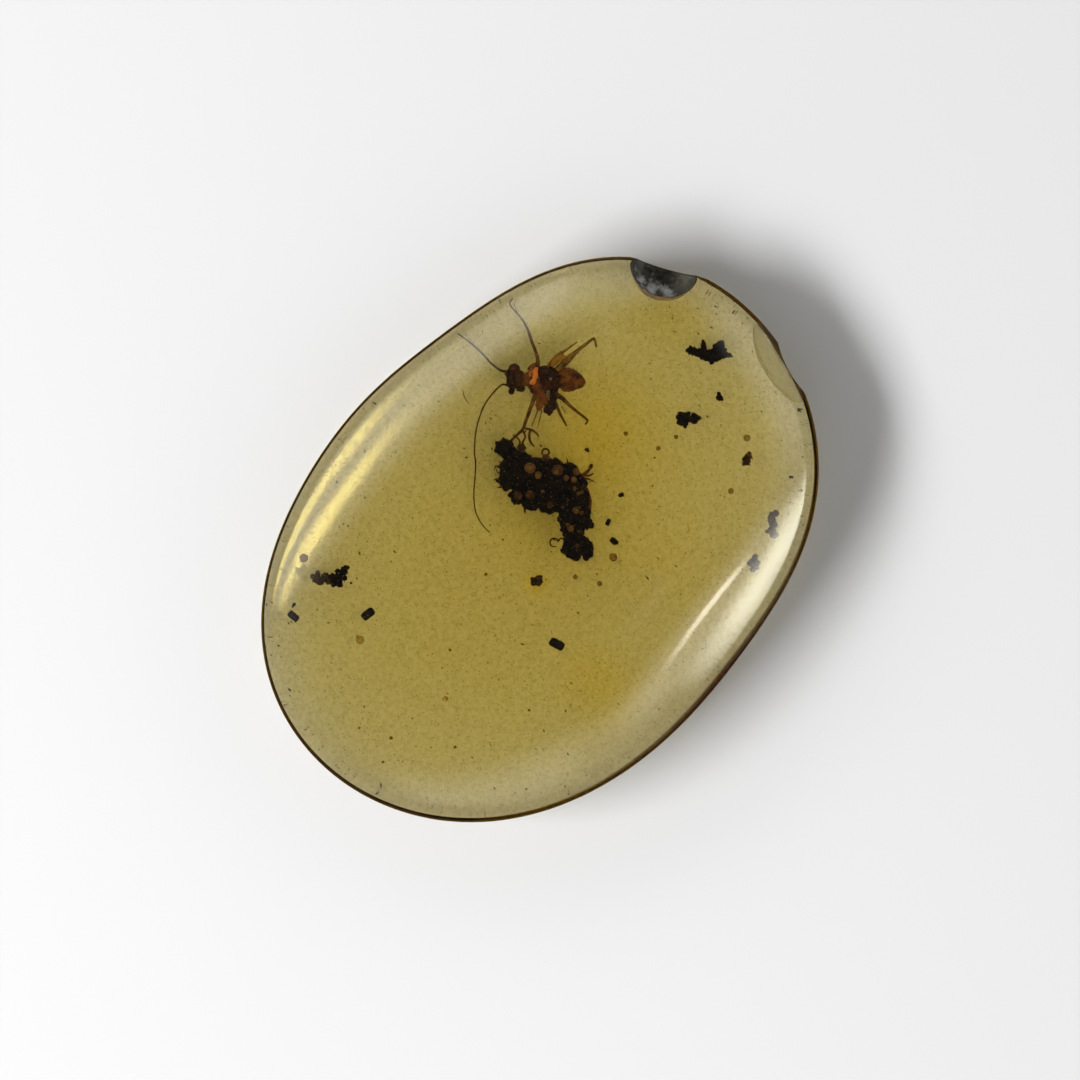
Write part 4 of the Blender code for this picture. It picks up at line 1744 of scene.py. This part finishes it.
@dataclass
class ResinDrops:
    """Round orange-brown beads of darker resin."""

    height: float = 3.1
    drops: tuple[tuple[float, float, float, float], ...] = (
        (-9.52, -0.60, 0.19, 0.0), (2.86, -0.56, 0.16, 0.1), (1.34, -1.36, 0.10, 0.3),
        (2.32, -1.62, 0.11, 0.3), (4.66, 3.78, 0.10, 0.2), (5.38, 4.24, 0.09, 0.1),
        (3.36, 4.38, 0.09, 0.1), (8.22, 4.20, 0.15, 0.8), (7.58, 2.08, 0.12, 0.7),
        (-2.22, -1.24, 0.06, 0.0), (-3.66, -4.28, 0.06, 0.0), (-6.02, -7.80, 0.07, 0.0),
        (-6.34, -8.76, 0.06, 0.0), (-3.46, -8.16, 0.06, 0.0), (-7.30, -7.40, 0.05, 0.0),
        (-0.62, -9.84, 0.06, 0.0), (-0.50, -6.68, 0.05, 0.0))
    pale_drops: tuple[tuple[float, float, float, float], ...] = (
        (-7.26, -3.88, 0.17, 0.4), (-3.84, -6.24, 0.12, 0.2), (-7.36, -3.76, 0.08, 0.4))
    amber_brown: SealedFinish = SealedFinish(
        "resin_drop", (0.14, 0.060, 0.006), (0.30, 0.16, 0.018), 5.0, 0.3, 0.15, 0.002,
        0.66, 0.84)
    amber_yellow: SealedFinish = SealedFinish(
        "pale_resin_drop", (0.30, 0.17, 0.01), (0.48, 0.30, 0.03), 5.0, 0.3, 0.15, 0.002,
        0.55, 0.7)

    def build(self, shop: Workshop) -> None:
        """Make the brown beads and the yellow ones.

        Args:
            shop: the workshop that makes the pieces.
        """
        for name, drops, finish in (("resin_beads", self.drops, self.amber_brown),
                                    ("yellow_beads", self.pale_drops, self.amber_yellow)):
            skins = [lump_skin(shop.sight, Lump((x, y, self.height), (r, r * 0.95, r * 0.8),
                                                50.0 * k, 0.008, tint), 0.2, 450 + k)
                     for k, (x, y, r, tint) in enumerate(drops)]
            shop.piece(name, Skin.joined(skins), finish)


@dataclass
class Dust:
    """Thousands of fine specks, drawn out along the way that the resin once ran."""

    fine_count: int = 23000
    coarse_count: int = 260
    flow_degrees: float = -58.0
    flow_spread: float = 28.0
    edge_share: float = 0.965
    plan_half: float = 13.0
    skin_gap: float = 0.15
    chip_middle: tuple[float, float] = (11.6, 1.0)
    chip_reach: float = 4.2
    chip_depth: float = 0.6
    fine: SealedFinish = SealedFinish(
        "fine_dust", (0.13, 0.085, 0.020), (0.25, 0.18, 0.045), 1.2, 0.5, 0.6, 0.0)
    coarse: SealedFinish = SealedFinish(
        "coarse_dust", (0.04, 0.022, 0.005), (0.14, 0.085, 0.018), 1.2, 0.5, 0.6, 0.0)

    def build(self, shop: Workshop) -> None:
        """Make fine and coarse specks."""
        self._specks(shop, "fine_dust", self.fine_count, (0.009, 0.021), self.fine, 77)
        self._specks(shop, "coarse_dust", self.coarse_count, (0.022, 0.050), self.coarse, 78)

    def _specks(self, shop: Workshop, name: str, count: int, sizes: tuple[float, float],
                finish: SealedFinish, seed: int) -> None:
        """Scatter specks evenly through the drop.

        Plan points are drawn in a square, those outside the outline are dropped, and each
        gets a height between the lower and upper surface.

        Args:
            shop: the workshop that makes the pieces.
            name: name of the piece.
            count: number of specks.
            sizes: least and greatest half size in mm.
            finish: its finish.
            seed: seed of the draws.
        """
        rng = np.random.default_rng(seed)
        drop = shop.sight.drop
        plan = rng.uniform(-self.plan_half, self.plan_half, (count * 4, 2))
        plan = plan[drop.share(plan) < self.edge_share][:count]
        low, high = drop.bottom(plan) + self.skin_gap, drop.top(plan) - self.skin_gap
        from_chips = np.hypot(*(plan - np.array(self.chip_middle)).T)
        high = np.where(from_chips < self.chip_reach, low + self.chip_depth, high)
        heights = low + (high - low) * rng.uniform(0, 1, len(plan))
        size = sizes[0] + (sizes[1] - sizes[0]) * rng.uniform(0, 1, len(plan)) ** 2
        turn = np.radians(self.flow_degrees - shop.sight.long_axis_degrees
                          + rng.normal(0, self.flow_spread, len(plan)))
        c, s, o = np.cos(turn), np.sin(turn), np.zeros(len(plan))
        long, wide = size * rng.uniform(1.1, 2.2, len(plan)), size * 0.8
        frames = np.stack((np.stack((c * long, -s * wide, o), 1),
                           np.stack((s * long, c * wide, o), 1),
                           np.stack((o, o, wide), 1)), 1)
        speck = Skin.closed(sphere_rings(2, 4))
        skin = speck.scattered(np.column_stack((plan, heights)), frames,
                               rng.uniform(-0.4, 0.4, len(plan)))
        shop.piece(name, skin, finish)


# ---------------------------------------------------------------- studio


@dataclass
class Lamp:
    """A softbox: where it stands by compass and height, its size, brightness and use."""

    name: str
    compass_degrees: float
    height_degrees: float
    distance: float
    size: Seen
    radiance: float
    soft: Seen = (0.0, 0.0)
    mirrored: bool = True
    passes_amber: bool = True
    lights_floor: bool = True
    colour: Colour = (1.0, 1.0, 1.0)


@dataclass
class Glow:
    """A soft bright part of the surroundings, wide by compass and by height."""

    compass_degrees: float
    half_width: float
    low: float
    high: float
    soft: float
    strength: float


@dataclass
class Studio:
    """Plain pale floor, soft light and the camera straight above."""

    sight: Sight
    floor_half: float = 600.0
    floor_drop: float = 0.03
    floor_colour: Colour = (0.62, 0.62, 0.622)
    side_light: float = 0.95
    top_light: float = 0.06
    dusk: tuple[float, float] = (0.44, 0.70)
    lamps: tuple[Lamp, ...] = (
        Lamp("key_softbox", 200.0, 37.5, 420.0, (300.0, 100.0), 31.2, mirrored=False,
             passes_amber=False),
        Lamp("fill", 270.0, 45.0, 330.0, (420.0, 300.0), 1.5, (0.5, 0.5), mirrored=False,
             passes_amber=False),
        Lamp("overhead", 0.0, 90.0, 300.0, (700.0, 700.0), 1.92, (0.25, 0.25),
             mirrored=False, lights_floor=False),
        Lamp("upper_window", -27.0, 55.4, 260.0, (150.0, 36.0), 38.0, (0.45, 0.5),
             mirrored=False, lights_floor=False, colour=(1.0, 0.97, 0.82)),
        Lamp("high_window", -25.0, 63.8, 260.0, (120.0, 27.0), 28.0, (0.5, 0.5),
             mirrored=False, lights_floor=False, colour=(1.0, 0.97, 0.82)),
        *(Lamp(f"side_{step}", 30.0 + 60.0 * step, 34.0, 260.0, (280.0, 90.0), radiance,
               (0.35, 0.5), lights_floor=False, colour=(1.0, 0.985, 0.90))
          for step, radiance in enumerate((1.8, 1.1, 1.0, 0.2, 1.4, 2.2))),
        Lamp("rim_strip", -19.0, 26.5, 260.0, (215.0, 68.0), 12.5, (0.3, 0.5),
             passes_amber=False, lights_floor=False, colour=(1.0, 0.985, 0.82)),
        Lamp("thin_strip", -31.5, 36.0, 260.0, (92.0, 13.0), 11.5, (0.45, 0.45),
             passes_amber=False, lights_floor=False, colour=(1.0, 0.96, 0.84)))
    glows: tuple[Glow, ...] = (
        Glow(140.0, 38.0, 0.36, 0.55, 0.06, 1.8),)

    def build(self) -> None:
        """Set up floor, surroundings, lamps and camera."""
        self._floor()
        self._surroundings()
        for lamp in self.lamps:
            self._lamp(lamp)
        self._camera()
        bpy.context.scene.view_settings.view_transform = "Standard"

    def _floor(self) -> None:
        """A large level sheet just under the drop."""
        half = self.floor_half * MM
        mesh = bpy.data.meshes.new("floor")
        level = -self.floor_drop * MM
        mesh.from_pydata([(-half, -half, level), (half, -half, level), (half, half, level),
                          (-half, half, level)], [], [(0, 1, 2, 3)])
        material, graph, shader, _ = new_material("pale_card")
        shader.inputs["Roughness"].default_value = 0.9
        shader.inputs["Specular IOR Level"].default_value = 0.1
        cloud = graph.node("TexNoise", {"Scale": 30.0, "Detail": 2.0})
        graph.link(graph.node("TexCoord").outputs["Object"], cloud.inputs["Vector"])
        pale = tuple(0.985 * c for c in self.floor_colour)
        graph.link(graph.mix(cloud.outputs["Fac"], opaque(pale), opaque(self.floor_colour)),
                   shader.inputs["Base Color"])
        mesh.materials.append(material)
        floor = bpy.data.objects.new("floor", mesh)
        bpy.context.scene.collection.objects.link(floor)

    def _surroundings(self) -> None:
        """Pale all round, dark straight above, with soft bright parts."""
        world = bpy.data.worlds.new("studio")
        bpy.context.scene.world = world
        world.use_nodes = True
        graph = Graph(world.node_tree)
        backdrop = world.node_tree.nodes["Background"]
        backdrop.inputs["Color"].default_value = (1.0, 1.0, 1.0, 1.0)
        split = graph.node("SeparateXYZ")
        graph.link(graph.node("TexCoord").outputs["Generated"], split.inputs[0])
        x, y, z = split.outputs
        level = graph.ramp(z, *self.dusk, self.side_light, self.top_light)
        flat = graph.maths("SQRT", graph.maths("ADD", graph.maths("MULTIPLY", x, x),
                                               graph.maths("MULTIPLY", y, y)))
        flat = graph.maths("MAXIMUM", flat, 0.001)
        for glow in self.glows:
            compass = math.radians(glow.compass_degrees - self.sight.long_axis_degrees)
            across = graph.maths("ADD", graph.maths("MULTIPLY", x, math.cos(compass)),
                                 graph.maths("MULTIPLY", y, math.sin(compass)))
            facing = graph.maths("DIVIDE", across, flat)
            edge = math.cos(math.radians(glow.half_width))
            part = graph.ramp(facing, edge - glow.soft, edge + glow.soft)
            for bound, sign in ((glow.low, 1.0), (glow.high, -1.0)):
                rise = graph.ramp(z, bound - glow.soft, bound + glow.soft,
                                  0.5 - 0.5 * sign, 0.5 + 0.5 * sign)
                part = graph.maths("MULTIPLY", part, rise)
            level = graph.maths("ADD", level, graph.maths("MULTIPLY", part, glow.strength))
        graph.link(level, backdrop.inputs["Strength"])

    def _lamp(self, lamp: Lamp) -> None:
        """Hang one softbox, aimed at the drop; its power is pi times radiance times area.

        Args:
            lamp: the softbox.
        """
        light = bpy.data.lights.new(lamp.name, "AREA")
        light.shape = "RECTANGLE"
        light.size, light.size_y = lamp.size[0] * MM, lamp.size[1] * MM
        light.energy = math.pi * lamp.radiance * light.size * light.size_y
        light.color = lamp.colour
        if max(lamp.soft) > 0.0:
            self._soften(light, lamp.soft)
        made = bpy.data.objects.new(lamp.name, light)
        compass = math.radians(lamp.compass_degrees - self.sight.long_axis_degrees)
        height = math.radians(lamp.height_degrees)
        made.location = [lamp.distance * MM * part for part in
                         (math.cos(height) * math.cos(compass),
                          math.cos(height) * math.sin(compass), math.sin(height))]
        made.rotation_euler = (math.pi / 2 - height, 0.0, compass + math.pi / 2)
        made.visible_glossy = lamp.mirrored
        made.visible_transmission = lamp.passes_amber
        made.visible_diffuse = lamp.lights_floor
        bpy.context.scene.collection.objects.link(made)

    @staticmethod
    def _soften(light: bpy.types.Light, soft: Seen) -> None:
        """Fade a softbox towards its edges.

        The strength is the product, over both directions, of a smooth step of the
        distance to the nearer edge.

        Args:
            light: the area light.
            soft: width of the fade along each side, as a share of that side.
        """
        light.use_nodes = True
        graph = Graph(light.node_tree)
        parts = graph.node("SeparateXYZ")
        graph.link(graph.node("NewGeometry").outputs["Parametric"], parts.inputs[0])
        total: object = 1.0
        for place, width in zip(parts.outputs[:2], soft):
            inside = graph.maths("SUBTRACT", 0.5, graph.maths(
                "ABSOLUTE", graph.maths("SUBTRACT", place, 0.5)))
            total = graph.maths("MULTIPLY", graph.ramp(inside, 0.0, max(width, 0.001)), total)
        graph.link(total, light.node_tree.nodes["Emission"].inputs["Strength"])

    def _camera(self) -> None:
        """Stand the camera at the eye, looking straight down."""
        data = bpy.data.cameras.new("camera")
        data.lens = self.sight.lens
        data.sensor_width = self.sight.sensor
        data.clip_start = 0.001
        data.clip_end = 10.0
        camera = bpy.data.objects.new("camera", data)
        camera.location = [float(c) * MM for c in self.sight.eye()]
        camera.rotation_euler = (0.0, 0.0, -math.radians(self.sight.long_axis_degrees))
        bpy.context.scene.collection.objects.link(camera)
        bpy.context.scene.camera = camera


def main() -> None:
    """Load the frame, then build the amber, what it holds, and the studio."""
    logging.basicConfig(level=logging.INFO, format="%(name)s: %(message)s")
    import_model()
    low, high = (np.array(corner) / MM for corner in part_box("amber"))
    drop = Drop()
    drop.centre_on(low, high)
    sight = Sight(drop)
    shop = Workshop(Effects(), sight)
    AmberBody(drop).build(shop)
    Insect().build(shop)
    Clump().build(shop)
    CrumbGroups().build(shop)
    ResinDrops().build(shop)
    Dust().build(shop)
    Studio(sight).build()
    LOG.info("%d pieces", len(shop.made))


if __name__ == "__main__":
    main()
